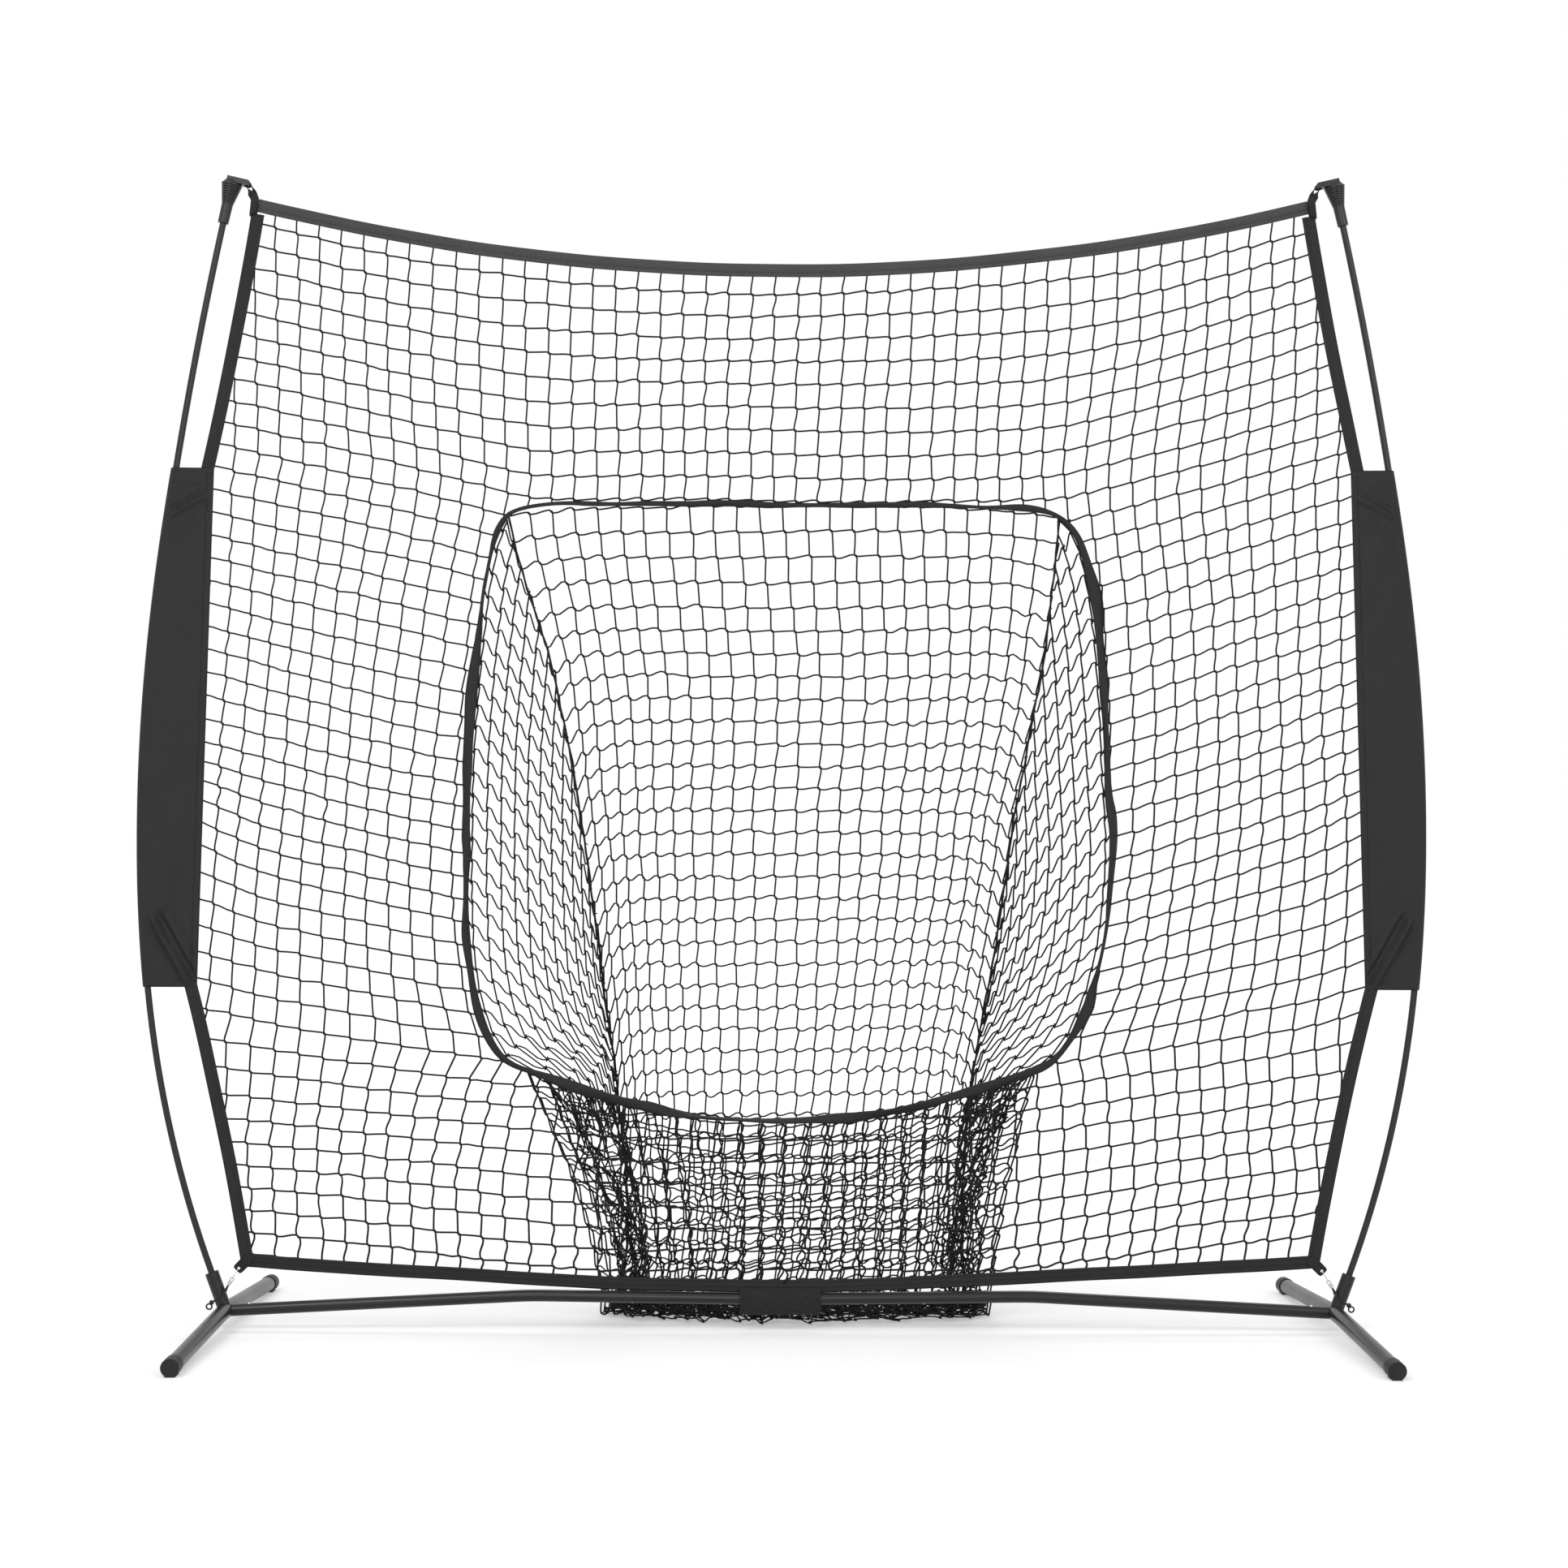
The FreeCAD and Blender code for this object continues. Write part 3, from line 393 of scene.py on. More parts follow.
# Where the rim hangs, side by side, from the top left corner onward: across and up.
rim_sides = (
    ((-514, 1508), (-484, 1521), (-430, 1527), (-240, 1529), (0, 1526), (240, 1527), (430, 1524), (484, 1519)),
    ((517, 1508), (544, 1478), (561, 1440), (578, 1360), (589, 1270), (598, 1150), (605, 1010), (611, 920),
     (611, 860), (603, 760), (590, 680), (567, 600), (540, 545)),
    ((506, 500), (460, 478), (300, 426), (180, 401), (60, 389), (-20, 387), (-100, 390), (-180, 400),
     (-300, 425), (-460, 476)),
    ((-504, 492), (-530, 520), (-552, 562), (-573, 640), (-581, 720), (-584, 840), (-582, 980), (-579, 1080),
     (-568, 1220), (-553, 1360), (-538, 1440), (-526, 1480)))


side_stations = 104


def opening_line():
    """Closed middle line of the opening's rim, its corners rounded, from the top left onward."""
    sides = []
    for points, after in zip(rim_sides, rim_sides[1:] + rim_sides[:1]):
        sides.append(smooth_path(points + after[:1], side_stations, ends=False))
    line = np.concatenate(sides)
    soft = np.zeros_like(line)
    for shift, weight in zip(range(-4, 5), (1, 2, 3, 4, 4, 4, 3, 2, 1)):
        soft += np.roll(line, shift, 0) * weight / 24
    return soft


def within(x, z, line):
    """Whether points are inside a closed line."""
    ahead = np.roll(line, -1, 0)
    crossings = np.zeros(np.shape(x), int)
    for (x0, z0), (x1, z1) in zip(line, ahead):
        spans = (z0 > z) != (z1 > z)
        crossings += spans & (x < (x1 - x0) * (z - z0) / (z1 - z0 + 1e-12) + x0)
    return crossings % 2 == 1


opening = opening_line()


def top_line(x):
    return corner_z - top_sag * (1 - (x / half_top) ** 2)


def bottom_line(x):
    """The bottom tape rests on the bar in the middle and climbs to its corners."""
    places = (-986, -965, -770, -545, -395, -335, -215, -80, 80, 205, 355, 505, 655, 805, 986)
    heights = (128, 126.9, 113.4, 100.6, 92.2, 88.8, 85.2, 83.4, 83.4, 88.0, 94.6, 103, 111, 120, 130)
    return np.interp(x, places, heights)


def half_width(z):
    return np.interp(z, (104, 128, 400, 633, 634, 1592, 1850, 2078), (980, 986, 1036, 1083, 1089, 1060, 1017, 971))


def has_net(x, z):
    held = (np.abs(x) < half_width(z)) & (z < top_line(x)) & (z > bottom_line(x))
    return held & ~within(x, z, opening)


def hinge(x, start, soft):
    """Rises past a start, with a soft turn."""
    return soft * np.logaddexp(0, (np.abs(x) - start) / soft)


# How far the columns stand outward of an even spacing, at heights, for three columns of a side.
set_heights = (160, 280, 340, 460, 520, 590, 640, 760, 900, 1120, 1360, 1540, 1600, 1660, 1840, 2078)
set_columns = (592, 719, 973)
set_left = ((0, 9, 1, -13, -43, -14, -1, 14, 15, 2, -18, -43, -44, -37, -29, -29),
            (-1, 10, 6, -1, -18, -12, 0, 8, 8, -3, -19, -43, -44, -37, -29, -29),
            (2, 10, 16, 7, 9, 0, -1, -3, -9, -18, -32, -39, -45, -43, -38, -34))
set_right = ((16, 20, 17, 9, -6, 22, 36, 50, 59, 60, 42, 15, 12, 15, 27, 24),
             (16, 21, 17, 14, 6, 17, 28, 40, 49, 49, 36, 14, 12, 14, 25, 20),
             (9, 26, 16, 22, 15, 17, 26, 30, 33, 27, 20, 10, 9, 13, 14, 13))


def column_set(x0, z):
    """Shift of the columns to the right of an even spacing."""
    inner, middle, outer = set_columns
    step = (np.clip(np.abs(x0), inner, middle) - inner) / (middle - inner)
    past = (np.clip(np.abs(x0), middle, 1100) - middle) / (outer - middle)
    shift = []
    for sign, table in ((-1, set_left), (1, set_right)):
        near, mid, far = (sign * np.interp(z, set_heights, places) for places in table)
        shift.append(near + (mid - near) * step + (far - mid) * past)
    across = np.clip((x0 / inner + 1) / 2, 0, 1)
    return shift[0] * (1 - across) + shift[1] * across


def front_knots():
    """Knots of the whole lattice, row by row from the top tape down."""
    rows = np.arange(-3, 47)
    columns = np.arange(-26, 27)
    level, x0 = np.meshgrid(top_row_z - bar * rows, bar * columns, indexing="ij")
    top_rise = top_sag * (x0 / half_top) ** 2
    middle_rise = 0.25 * hinge(x0, 500, 18) + np.interp(level, (330, 450, 740, 940), (0, 1, 1, 0)) * (
        0.28 * hinge(x0, 965, 22))
    low_rise = 0.125 * hinge(x0, 330, 60)
    heights = (60, 350, 520, 800, 1560, 1800, 1960)
    to_top = np.interp(level, heights, (0, 0, 0, 0, 0, 0.7, 1))
    to_low = np.interp(level, heights, (1, 1, 0.6, 0.1, 0, 0, 0))
    rise = top_rise * to_top + low_rise * to_low + middle_rise * (1 - to_top - to_low)
    z = level + rise
    z = z + 16 * np.exp(-np.maximum(z - 90, 0) / 110) * np.clip(1.2 - np.abs(x0) / 900, 0, 1)
    x = x0 + column_set(x0, z) + ripple(x0, level, 1.6, 11) + dice.normal(0, 0.8, x0.shape)
    z = z + ripple(x0, level, 2.4, 12) + dice.normal(0, 0.8, x0.shape)
    y = ripple(x0, level, 0.5, 13)
    return np.stack([x, y, z], -1)


def clipped(start, end, inside):
    """Strands cut where they leave the netting; gives starts, ends and what share is left."""
    a_in = inside(start[:, 0], start[:, 2])
    b_in = inside(end[:, 0], end[:, 2])
    keep = a_in | b_in
    start, end, a_in, b_in = start[keep], end[keep], a_in[keep], b_in[keep]
    low = np.zeros(len(start))
    high = np.ones(len(start))
    for _ in range(10):
        middle = (low + high) / 2
        point = start + (end - start) * middle[:, None]
        same = inside(point[:, 0], point[:, 2]) == a_in
        low = np.where(same, middle, low)
        high = np.where(same, high, middle)
    cut = start + (end - start) * low[:, None]
    new_start = np.where(a_in[:, None], start, cut)
    new_end = np.where(b_in[:, None], end, cut)
    share = np.where(a_in & b_in, 1, np.where(a_in, low, 1 - low))
    whole = share > 0.06
    return new_start[whole], new_end[whole], share[whole]


def pairs(grid):
    """Neighbouring knots along the rows, and along the columns."""
    row = (grid[:, :-1].reshape(-1, 3), grid[:, 1:].reshape(-1, 3))
    column = (grid[:-1].reshape(-1, 3), grid[1:].reshape(-1, 3))
    return row, column


fibres = worn((14.0, 3.0), (0.2, 0.55), (0.006, 0.014), relief=(0.4, 0.0004), wave=(420.0, 2.0))
twine = finish("twine", 0.010, 0.65, fibres, Specular_IOR_Level=0.2)
lattice = front_knots()
(row_a, row_b), (column_a, column_b) = pairs(lattice)
row_a, row_b, row_share = clipped(row_a, row_b, has_net)
column_a, column_b, column_share = clipped(column_a, column_b, has_net)
slack_heights, slack_shares, twine_swell = (90, 200, 600, 1200), (1.3, 0.8, 0.5, 0.5), (1.3, 1.22, 1.12, 1.0)
rows = strands(row_a, row_b, (0, 0, -1), row_share, 1.2, np.interp(row_a[:, 2], slack_heights, slack_shares))
columns = strands(column_a, column_b, (1, 0, 0), column_share, 1.3,
                  np.interp(column_a[:, 2], slack_heights, slack_shares))
row_r, column_r = (twine_r * np.interp(way[:, :, 2], slack_heights, twine_swell) for way in (rows, columns))
flat_knots = lattice.reshape(-1, 3)
flat_knots = flat_knots[has_net(flat_knots[:, 0], flat_knots[:, 2])]
add_strands("front_netting", [tubes(rows, row_r), tubes(columns, column_r), nodules(flat_knots)],
            twine, "netting", "front_net")


# ---- Rim of the opening ----
# A strip of black fabric folded over the cut edge of the netting and sewn on with a whipping
# stitch. It is twisted by the pull of the mesh, narrow along the top and pinched at the corners.
def loft(rings, closed, caps):
    """Points and faces of a skin over rings, each ring a closed loop; rings is (count, around, 3)."""
    count, around, _ = rings.shape
    number = np.arange(count * around).reshape(count, around)
    if closed:
        number = np.concatenate([number, number[:1]])
    low = number[:-1]
    high = number[1:]
    faces = np.stack([low, np.roll(low, -1, 1), np.roll(high, -1, 1), high], -1).reshape(-1, 4).tolist()
    if caps and not closed:
        faces += [number[0][::-1].tolist(), number[-1].tolist()]
    return rings.reshape(-1, 3), faces


def unwrap(piece, around, lengths, widths, closed):
    """UV map in metres on a lofted piece: lengths along it and widths round its section."""
    layer = piece.data.uv_layers.new(name="cloth")
    stations = len(lengths)
    for polygon in piece.data.polygons:
        if len(polygon.vertices) != 4 or polygon.index >= (stations - 1 + closed) * around:
            continue
        i, j = divmod(polygon.index, around)
        far = lengths[i + 1] if i + 1 < stations else lengths[i] + lengths[1] - lengths[0]
        corners = ((lengths[i], widths[j]), (lengths[i], widths[j + 1]), (far, widths[j + 1]), (far, widths[j]))
        for loop, corner in zip(polygon.loop_indices, corners):
            layer.data[loop].uv = corner[0] * MM, corner[1] * MM


def lofted(name, rings, material, slot, node, closed=False, caps=True):
    """Lofted piece with its UV map, in place of a CAD node."""
    piece = add_mesh(name, *loft(rings, closed, caps), material, slot, node)
    loop = np.concatenate([rings, rings[:, :1]], 1)[len(rings) // 2]
    unwrap(piece, rings.shape[1], run_along(rings.mean(1)), run_along(loop), closed)
    return piece


def woven(thread, low, high, rough, relief):
    """Plain weave on a UV map in metres, with broad changes of tone where the cloth is rubbed."""
    def pattern(s):
        spot = s.node("ShaderNodeTexCoord", out="UV")
        along, around = (s.node("ShaderNodeSeparateXYZ", None, {0: spot}, way) for way in (0, 1))
        turns = 2 * math.pi / (thread * MM)
        weave = (along * turns).sin() * (around * turns).sin()
        rubbed = s.noise(11.0, 6.0)
        return {"Normal": weave.bump(relief, 0.0003), "Roughness": rubbed * 0.20 + (rough - 0.10),
                "Base_Color": (weave * 0.18 + rubbed).pick(low, high)}
    return pattern


rim_cloth = finish("rim_cloth", 0.012, 0.6, woven(0.9, 0.006, 0.020, 0.58, 0.4), Specular_IOR_Level=0.25)


band_wide = 18.0                # 10 along the top
band_around = 12


def in_plane(flat, depth):
    """Points in space from points in the net's plane and how far each is behind it."""
    return np.stack([flat[..., 0], depth, flat[..., 1]], -1)


def rim_rings():
    """Sections of the twisted band round the opening."""
    line = opening_line()
    ahead = np.roll(line, -1, 0) - np.roll(line, 1, 0)
    ahead = ahead / np.linalg.norm(ahead, axis=1)[:, None]
    outward = np.stack([-ahead[:, 1], ahead[:, 0]], 1)
    place = np.arange(len(line)) / side_stations
    top = np.clip(1 - np.abs((place + 2) % 4 - 2 - 0.5) * 1.6, 0, 1)
    wide = band_wide - 8.0 * np.clip(top * 2, 0, 1)
    corner = np.abs((place + 0.5) % 1 - 0.5)
    pinch = 1 - 0.42 * np.exp(-(corner / 0.055) ** 2)
    wave = ripple(line[:, 0] * 4, line[:, 1] * 4, 1, 31)
    half_w = (wide * pinch + 3.4 * wave) / 2
    twist = 0.5 * np.sin(place * 9.1) + 0.9 * ripple(line[:, 0] * 2.2, line[:, 1] * 2.2, 1, 32)
    middle = line + outward * (1.2 * wave)[:, None]
    turn = np.linspace(0, 2 * math.pi, band_around, endpoint=False)
    fold = 1 + 0.13 * np.sin(3 * turn[None] + 5 * twist[:, None] + place[:, None] * 11)
    wide_way = half_w[:, None] * np.cos(turn)[None] * fold
    deep_way = np.clip(half_w, 3, 5)[:, None] * 0.62 * np.sin(turn)[None] * fold
    lying = wide_way * np.cos(twist)[:, None] - deep_way * np.sin(twist)[:, None]
    standing = wide_way * np.sin(twist)[:, None] * 0.7 + deep_way * np.cos(twist)[:, None]
    return in_plane(middle[:, None] + outward[:, None] * lying[:, :, None], standing)


rim = lofted("opening_band", rim_rings(), rim_cloth, "rim_fabric", "opening_rim", closed=True)

# ---- Sock ----
# A slack pocket of the same netting behind the opening: a back, two gussets and a front wall,
# sewn together along corded seams. It hangs from the rim and its end lies in folds on the floor.
sock_depth = 300.0
sock_top = 1512.0
seams = {"left_": ((-11, -330), (58, -300), (172, -292), (334, -303), (430, -313), (493, -321), (600, -334),
                  (729, -350), (838, -362), (961, -381), (1098, -402), (1233, -430), (1367, -470), (1460, -500),
                  (1512, -512)),
         "right_": ((-11, 370), (58, 362), (172, 356), (334, 360), (430, 368), (493, 376), (557, 390), (651, 405),
                   (807, 427), (961, 442), (1098, 467), (1233, 490), (1367, 504), (1460, 512), (1512, 513))}


def seam_x(side, z):
    """Where a seam runs, at a height."""
    heights, places = zip(*seams[side])
    return np.interp(z, heights, places)


def sock_y(z):
    """How far behind the frame the sock's back hangs, at a height."""
    return 4 + (sock_depth - 4) * np.clip(1 - np.asarray(z) / sock_top, 0, 1) ** 0.9


def back_knots():
    """Knots of the sock's back: columns crowd towards the seams, rows drop towards them."""
    level, u = np.meshgrid(sock_top - 42.0 * np.arange(37), np.linspace(-1, 1, 25), indexing="ij")
    crowd = np.interp(level, (0, 300, 900, 1300, sock_top), (0.20, 0.26, 0.20, 0.08, 0.0))
    across = u * (1 + crowd * (1 - u ** 2))
    drop = np.interp(level, (0, 900, 1300, sock_top), (44, 52, 34, 8)) * np.abs(u) ** 8
    left, right = (seam_x(side, level - drop) for side in SIDES)
    x = (left + right) / 2 + across * (right - left) / 2 + ripple(u * 500, level, 3.0, 21)
    z = level - drop + 14 * np.clip((level - 1340) / 172, 0, 1) * (1 - u ** 2) + ripple(u * 500, level, 3.0, 22)
    x += dice.normal(0, 1.0, x.shape)
    z += dice.normal(0, 1.0, x.shape)
    y = sock_y(z) + 22 * (1 - u ** 2) * np.sin(np.clip(level / sock_top, 0, 1) * math.pi)
    return np.stack([x, y, np.maximum(z, 5)], -1)


def netted(grid, row_way, column_way, sway, loose, column_loose=1.0, ease=0.0, radius=twine_r):
    """Strands and knots of the netting over a whole grid of knots."""
    (a, b), (c, d) = pairs(grid)
    return [tubes(strands(a, b, row_way, None, sway, loose, ease), radius),
            tubes(strands(c, d, column_way, None, sway, loose * column_loose), radius),
            nodules(grid.reshape(-1, 3))]


add_strands("sock_back_netting", netted(back_knots(), (0, 0, -1), (1, 0, 0), 1.4, 0.8, 0.25, 1.0),
            twine, "netting", "sock_back")

gusset_pitch = 24.0
gusset_fall = 24.0              # of a row from one column to the next
gusset_low, gusset_high = 360, 1500
fold_high = 500                 # under it the sock's own folds bound the gusset, not the rim


def rim_x(side, z):
    """Outer edge of a gusset: the rim's side, and under it the sock's own fold."""
    sign = SIDES[side]
    flanks = rim_sides[3] + rim_sides[0][:1] if sign < 0 else rim_sides[1] + rim_sides[2][:1]
    points = sorted((height, sign * x) for x, height in flanks)
    flank = np.interp(z, *zip(*points))
    heights = (0, 60, 94, 165, 220, 282, 345, 438, 470, 500)
    folds = {"left_": (340, 315, 308, 318, 338, 366, 384, 422, 446, 505),
             "right_": (392, 384, 377, 375, 378, 388, 408, 438, 462, 505)}[side]
    return sign * np.where(z > fold_high, flank, np.interp(z, heights, folds))


def gusset(side):
    """Strands of one gusset: columns run down beside the rim, rows fall steeply to the seam."""
    sign = SIDES[side]
    level, step = np.meshgrid(1760 - 40.5 * np.arange(42), np.arange(-1, 16), indexing="ij")
    offset = gusset_pitch * step + 10
    z = level - gusset_fall * step + ripple(offset * 3, level, 3.0, 41) + dice.normal(0, 1.4, level.shape)

    def room(height):
        upper = np.clip(height, fold_high, 1508)
        return np.maximum(np.abs(rim_x(side, upper) - seam_x(side, upper)), 4)

    def crowd(height):
        return np.interp(height, (600, 900, 1300), (1.25, 1.15, 1.02))

    def place(offset, z):
        part = 1 - (1 - np.clip(offset / room(z) / crowd(z), 0, 1)) ** (1 + (crowd(z) - 1) * 1.7)
        x = rim_x(side, z) * (1 - part) + seam_x(side, z) * part
        y = np.where(z > fold_high, 0, (fold_high - z) * 0.28) * (1 - part) + sock_y(z) * part
        return np.stack([x, np.maximum(y, 3), z], -1)

    def inside(offset, z):
        return (offset > 0) & (offset < room(z) * crowd(z)) & (z > gusset_low) & (z < gusset_high)

    flat = np.stack([offset, np.zeros_like(offset), z], -1)
    parts = []
    for (a, b), way, loose in zip(pairs(flat), ((0, 0, 1), (-sign, 0, 0)), (1.2, 0.15)):
        a, b, share = clipped(a, b, inside)
        start, end = place(a[:, 0], a[:, 2]), place(b[:, 0], b[:, 2])
        parts.append(tubes(strands(start, end, way, share, 0.8, loose, 1.0 if loose > 1 else 0.0), twine_r))
    knots = flat.reshape(-1, 3)
    knots = knots[inside(knots[:, 0], knots[:, 2])]
    return parts + [nodules(place(knots[:, 0], knots[:, 2]), 2.3, -sign * 1.35, 2.2)]


bunch_high = 470


def bunch(side, layer):
    """Slack fold of the sock's corner under the rim."""
    sign = SIDES[side]
    level, step = np.meshgrid(bunch_high - 35 * np.arange(13), np.linspace(0, 1, 7), indexing="ij")
    lower = np.clip(1 - level / bunch_high, 0, 1)
    outer = rim_x(side, level)
    inner = seam_x(side, level) - sign * np.interp(level, (0, 130, 250, 400), (48, 45, 30, 20))
    part = np.clip(step + 0.16 * np.sin(level / 47 + layer * 2.1 + step * 7), 0, 1)
    x = outer * (1 - part) + inner * part + dice.normal(0, 5, level.shape)
    x = x - sign * 9 * (0.5 + 0.5 * np.sin(level / 41 + layer * 2.6)) * (1 - step)
    y = 30 + 95 * layer / 2 + lower * 105 + 34 * np.sin(step * 14 + layer * 2 + level / 90)
    z = level - 16 * step + dice.normal(0, 6, level.shape)
    z = np.minimum(z, 392 + (np.abs(x) / 507) ** 2 * 110 - 12)
    return np.stack([x, np.clip(y, 8, 318), np.maximum(z, 6)], -1)


for side in SIDES:
    shapes = gusset(side)
    for layer in (0, 1.6):
        shapes += netted(bunch(side, layer), (0, 0, 1), (1, 0, 0), 2.0, 0.8)
    add_strands(side + "gusset_netting", shapes, twine, "netting", side + "sock_side")


def skirt_knots():
    """Knots of the sock's front wall, from the rim's lower edge down to the floor."""
    v, u = np.meshgrid(np.linspace(0, 1, 12), np.linspace(-1, 1, 25), indexing="ij")
    head_x = 470 * u
    head_z = 392 + 110 * (head_x / 507) ** 2 - 3
    foot_x = np.where(u < 0, 345, 392) * u * (1 + 0.16 * (1 - u ** 2))
    x = head_x * (1 - v) ** 1.6 + foot_x * (1 - (1 - v) ** 1.6) + ripple(u * 500, v * 400, 4, 51)
    z = head_z * (1 - v) + 8 * v + ripple(u * 500, v * 400, 4, 52) * np.sin(v * math.pi)
    y = 7 + 143 * v ** 1.2 + 12 * np.sin(u * 23) * v
    jitter = dice.normal(0, 1.6, (3,) + v.shape) * np.clip(v * 4, 0, 1)
    return np.stack([x + jitter[0], y + jitter[1], np.maximum(z + jitter[2], 5)], -1)


skirt_r = 1.7
skirt_grids = [skirt_knots() + np.array(shift) for shift in ((0, 0, 0), (5, 30, -14))]
skirt = []
for grid in skirt_grids:
    skirt += netted(grid, (0, 0, -1), (1, 0, 0), 1.5, 0.6, 1.1, 1.0, skirt_r)
add_strands("sock_front_netting", skirt, twine, "netting", "sock_skirt")


def pile_knots(layer):
    """Knots of the sock's end, lying in loose folds on the floor."""
    v, u = np.meshgrid(np.linspace(0, 1, 6), np.linspace(-1, 1, 27), indexing="ij")
    x = np.where(u < 0, 320, 390) * u + dice.normal(0, 7, u.shape)
    front = 150 - 78 * (1 - u ** 2) ** 0.8
    y = front + (298 - front) * v + 12 * np.sin(u * 19 + layer) + dice.normal(0, 8, u.shape)
    fold = 0.5 + 0.5 * np.sin(u * 31 + v * 6 + layer * 2.3)
    z = 3 + 14 * fold * (0.4 + 0.6 * dice.random(u.shape)) + 4.6 * layer
    return np.stack([np.clip(x, -336, 402), np.clip(y, 60, 312), z], -1)


pile = []
for layer in range(5):
    pile += netted(pile_knots(layer), (0, 0.5, 0.3), (0.8, 0, 0.3), 2.2, 0.7)
add_strands("sock_floor_netting", pile, twine, "netting", "sock_floor")

# Cord sewn down each seam, with the cut ends of the netting's twine standing out of it.
for side, sign in SIDES.items():
    z = np.linspace(1510, 12, 90)
    x = seam_x(side, z)
    x = np.convolve(np.pad(x, 5, mode="edge"), np.ones(11) / 11, mode="valid")
    x = x + ripple(z * 3, z * 5, 1.6, 61)
    line = np.stack([x, sock_y(z) + ripple(z * 3, z * 4, 1.6, 62), z], 1)
    cord = tubes(line[None], 2.1 + 0.25 * np.sin(np.arange(90) * 2.4)[None], 7)
    stub_at = line[4:-4:2]
    away = np.stack([-sign * dice.uniform(-4, 6, len(stub_at)), dice.uniform(-4, 4, len(stub_at)),
                     dice.uniform(-7, 1, len(stub_at))], 1)
    t = np.linspace(0, 1, 3)[None, :, None]
    stubs = tubes(stub_at[:, None] + away[:, None] * t, 1.0)
    add_strands(side + "seam_cord", [cord, stubs], twine, "netting")

# ---- Sewn tapes ----
# Polyester webbing bound over the netting's edges. The top one is a folded tube with a cord
# channel and two seams; the side and bottom ones are sewn once near their inner edge.
tape_front = -3.2
tape_t = 1.8


def arc(start, end, bulge, count):
    """Points on an arc in the net's plane, bulging to the left of the way."""
    start = np.array(start, float)
    end = np.array(end, float)
    t = np.linspace(0, 1, count, endpoint=False)
    chord = end - start
    side = np.array([-chord[1], chord[0]]) / np.hypot(*chord)
    return start + np.outer(t, chord) + np.outer(4 * bulge * t * (1 - t), side)


def headings(path):
    """Way ahead along a line in the net's plane, and the way to its left."""
    ahead = np.gradient(path, axis=0)
    ahead = ahead / np.linalg.norm(ahead, axis=1)[:, None]
    return ahead, np.stack([-ahead[:, 1], ahead[:, 0]], 1)


def tape_rings(path, edges, profile):
    """Sections of a flat tape: edges are its two sides' offsets, profile its front's relief."""
    side = headings(path)[1]
    shares = np.linspace(0, 1, len(profile))
    across = edges[0] + shares * (edges[1] - edges[0])
    round_off = np.where((shares == 0) | (shares == 1), 0.25, 0.0) * tape_t
    stir = ripple(path[:, 0] * 2.5, path[:, 1] * 2.5, 0.5, 71)[:, None]
    front = tape_front - np.asarray(profile) + round_off + stir * 0.4
    back = np.full_like(front, tape_front + tape_t) - round_off
    offsets = np.concatenate([across, across[::-1]]) + stir
    return in_plane(path[:, None] + side[:, None] * offsets[:, :, None], np.concatenate([front, back[:, ::-1]], 1))


def stitching(path, offset, front, pitch=4.2, length=2.9, radius=0.42):
    """Row of thread stitches along a line, sunk a little into the cloth."""
    dense = smooth_path(path, max(int(run_along(path)[-1] / pitch), 3))
    ahead, side = headings(dense)
    t = np.linspace(-0.5, 0.5, 4) + np.zeros((len(dense), 1))
    flat = (dense + side * offset)[:, None] + ahead[:, None] * t[:, :, None] * length
    return tubes(in_plane(flat, front - radius * 0.9 + np.abs(t) * 1.2), radius)


thread = finish("thread", 0.02, 0.6, fibres, Specular_IOR_Level=0.3)
tape_web = finish("tape_web", 0.016, 0.6, woven(0.8, 0.008, 0.024, 0.60, 0.5), Specular_IOR_Level=0.25)
# Painted light: the top tape is the same webbing as the others, given a lighter tone that stands in for the light
# falling on its upper face.
top_web_painted_light = finish("top_web_painted_light", 0.03, 0.45, woven(0.8, 0.012, 0.050, 0.45, 0.5), Specular_IOR_Level=0.45)


def tape(name, node, material, path, edges, profile, seams_at):
    """One tape with its seams, in place of its CAD node."""
    piece = lofted(name, tape_rings(path, edges, profile), material, "tape_webbing", node)
    stitches = [stitching(path, at, tape_front) for at in seams_at]
    sewn = add_strands(name + "_seams", stitches, thread, "tape_webbing")


x = np.linspace(-half_top + 1, half_top - 1, 200)
top_path = np.stack([x, top_line(x)], 1)
top_relief = (0, 0.5, 0.75, 0.8, 0.35, 0.0, 0.9, 1.5, 1.7, 1.8, 1.8, 1.7, 1.4, 0.8, 0)
tape("top_edge_tape", "top_tape", top_web_painted_light, top_path, (-12, 12), top_relief, (-4.0, -9.5))

side_relief = (0, 0.5, 0.6, 0.1, 0.0, 0.6, 0.9, 1.0, 1.0, 0.9, 0.6, 0)
for side, sign in SIDES.items():
    upper = arc((sign * 1063.5, 1584), (sign * 969.5, 2069), sign * 4, 60)
    lower = arc((sign * 983.5, 120), (sign * 1095, 652), sign * 6, 60)
    for label, path, node in (("upper", upper, "upper_side_tape"), ("lower", lower, "lower_side_tape")):
        tape(side + label + "_edge_tape", side + node, tape_web, path,
             (sign * 12, -sign * 12), side_relief, (sign * 5.5,))

x = np.concatenate([np.linspace(-985, -76, 90), np.linspace(-75, 75, 16), np.linspace(76, 985, 90)])
bottom_path = np.stack([x, bottom_line(x)], 1)
bottom_relief = (0, 0.5, 0.8, 0.8, 0.2, 0.0, 0.7, 0.9, 0.9, 0.2, 0.0, 0.6, 0.6, 0)
tape("bottom_edge_tape", "bottom_tape", tape_web, bottom_path, (-12, 12), bottom_relief, (-4.0, 6.5))


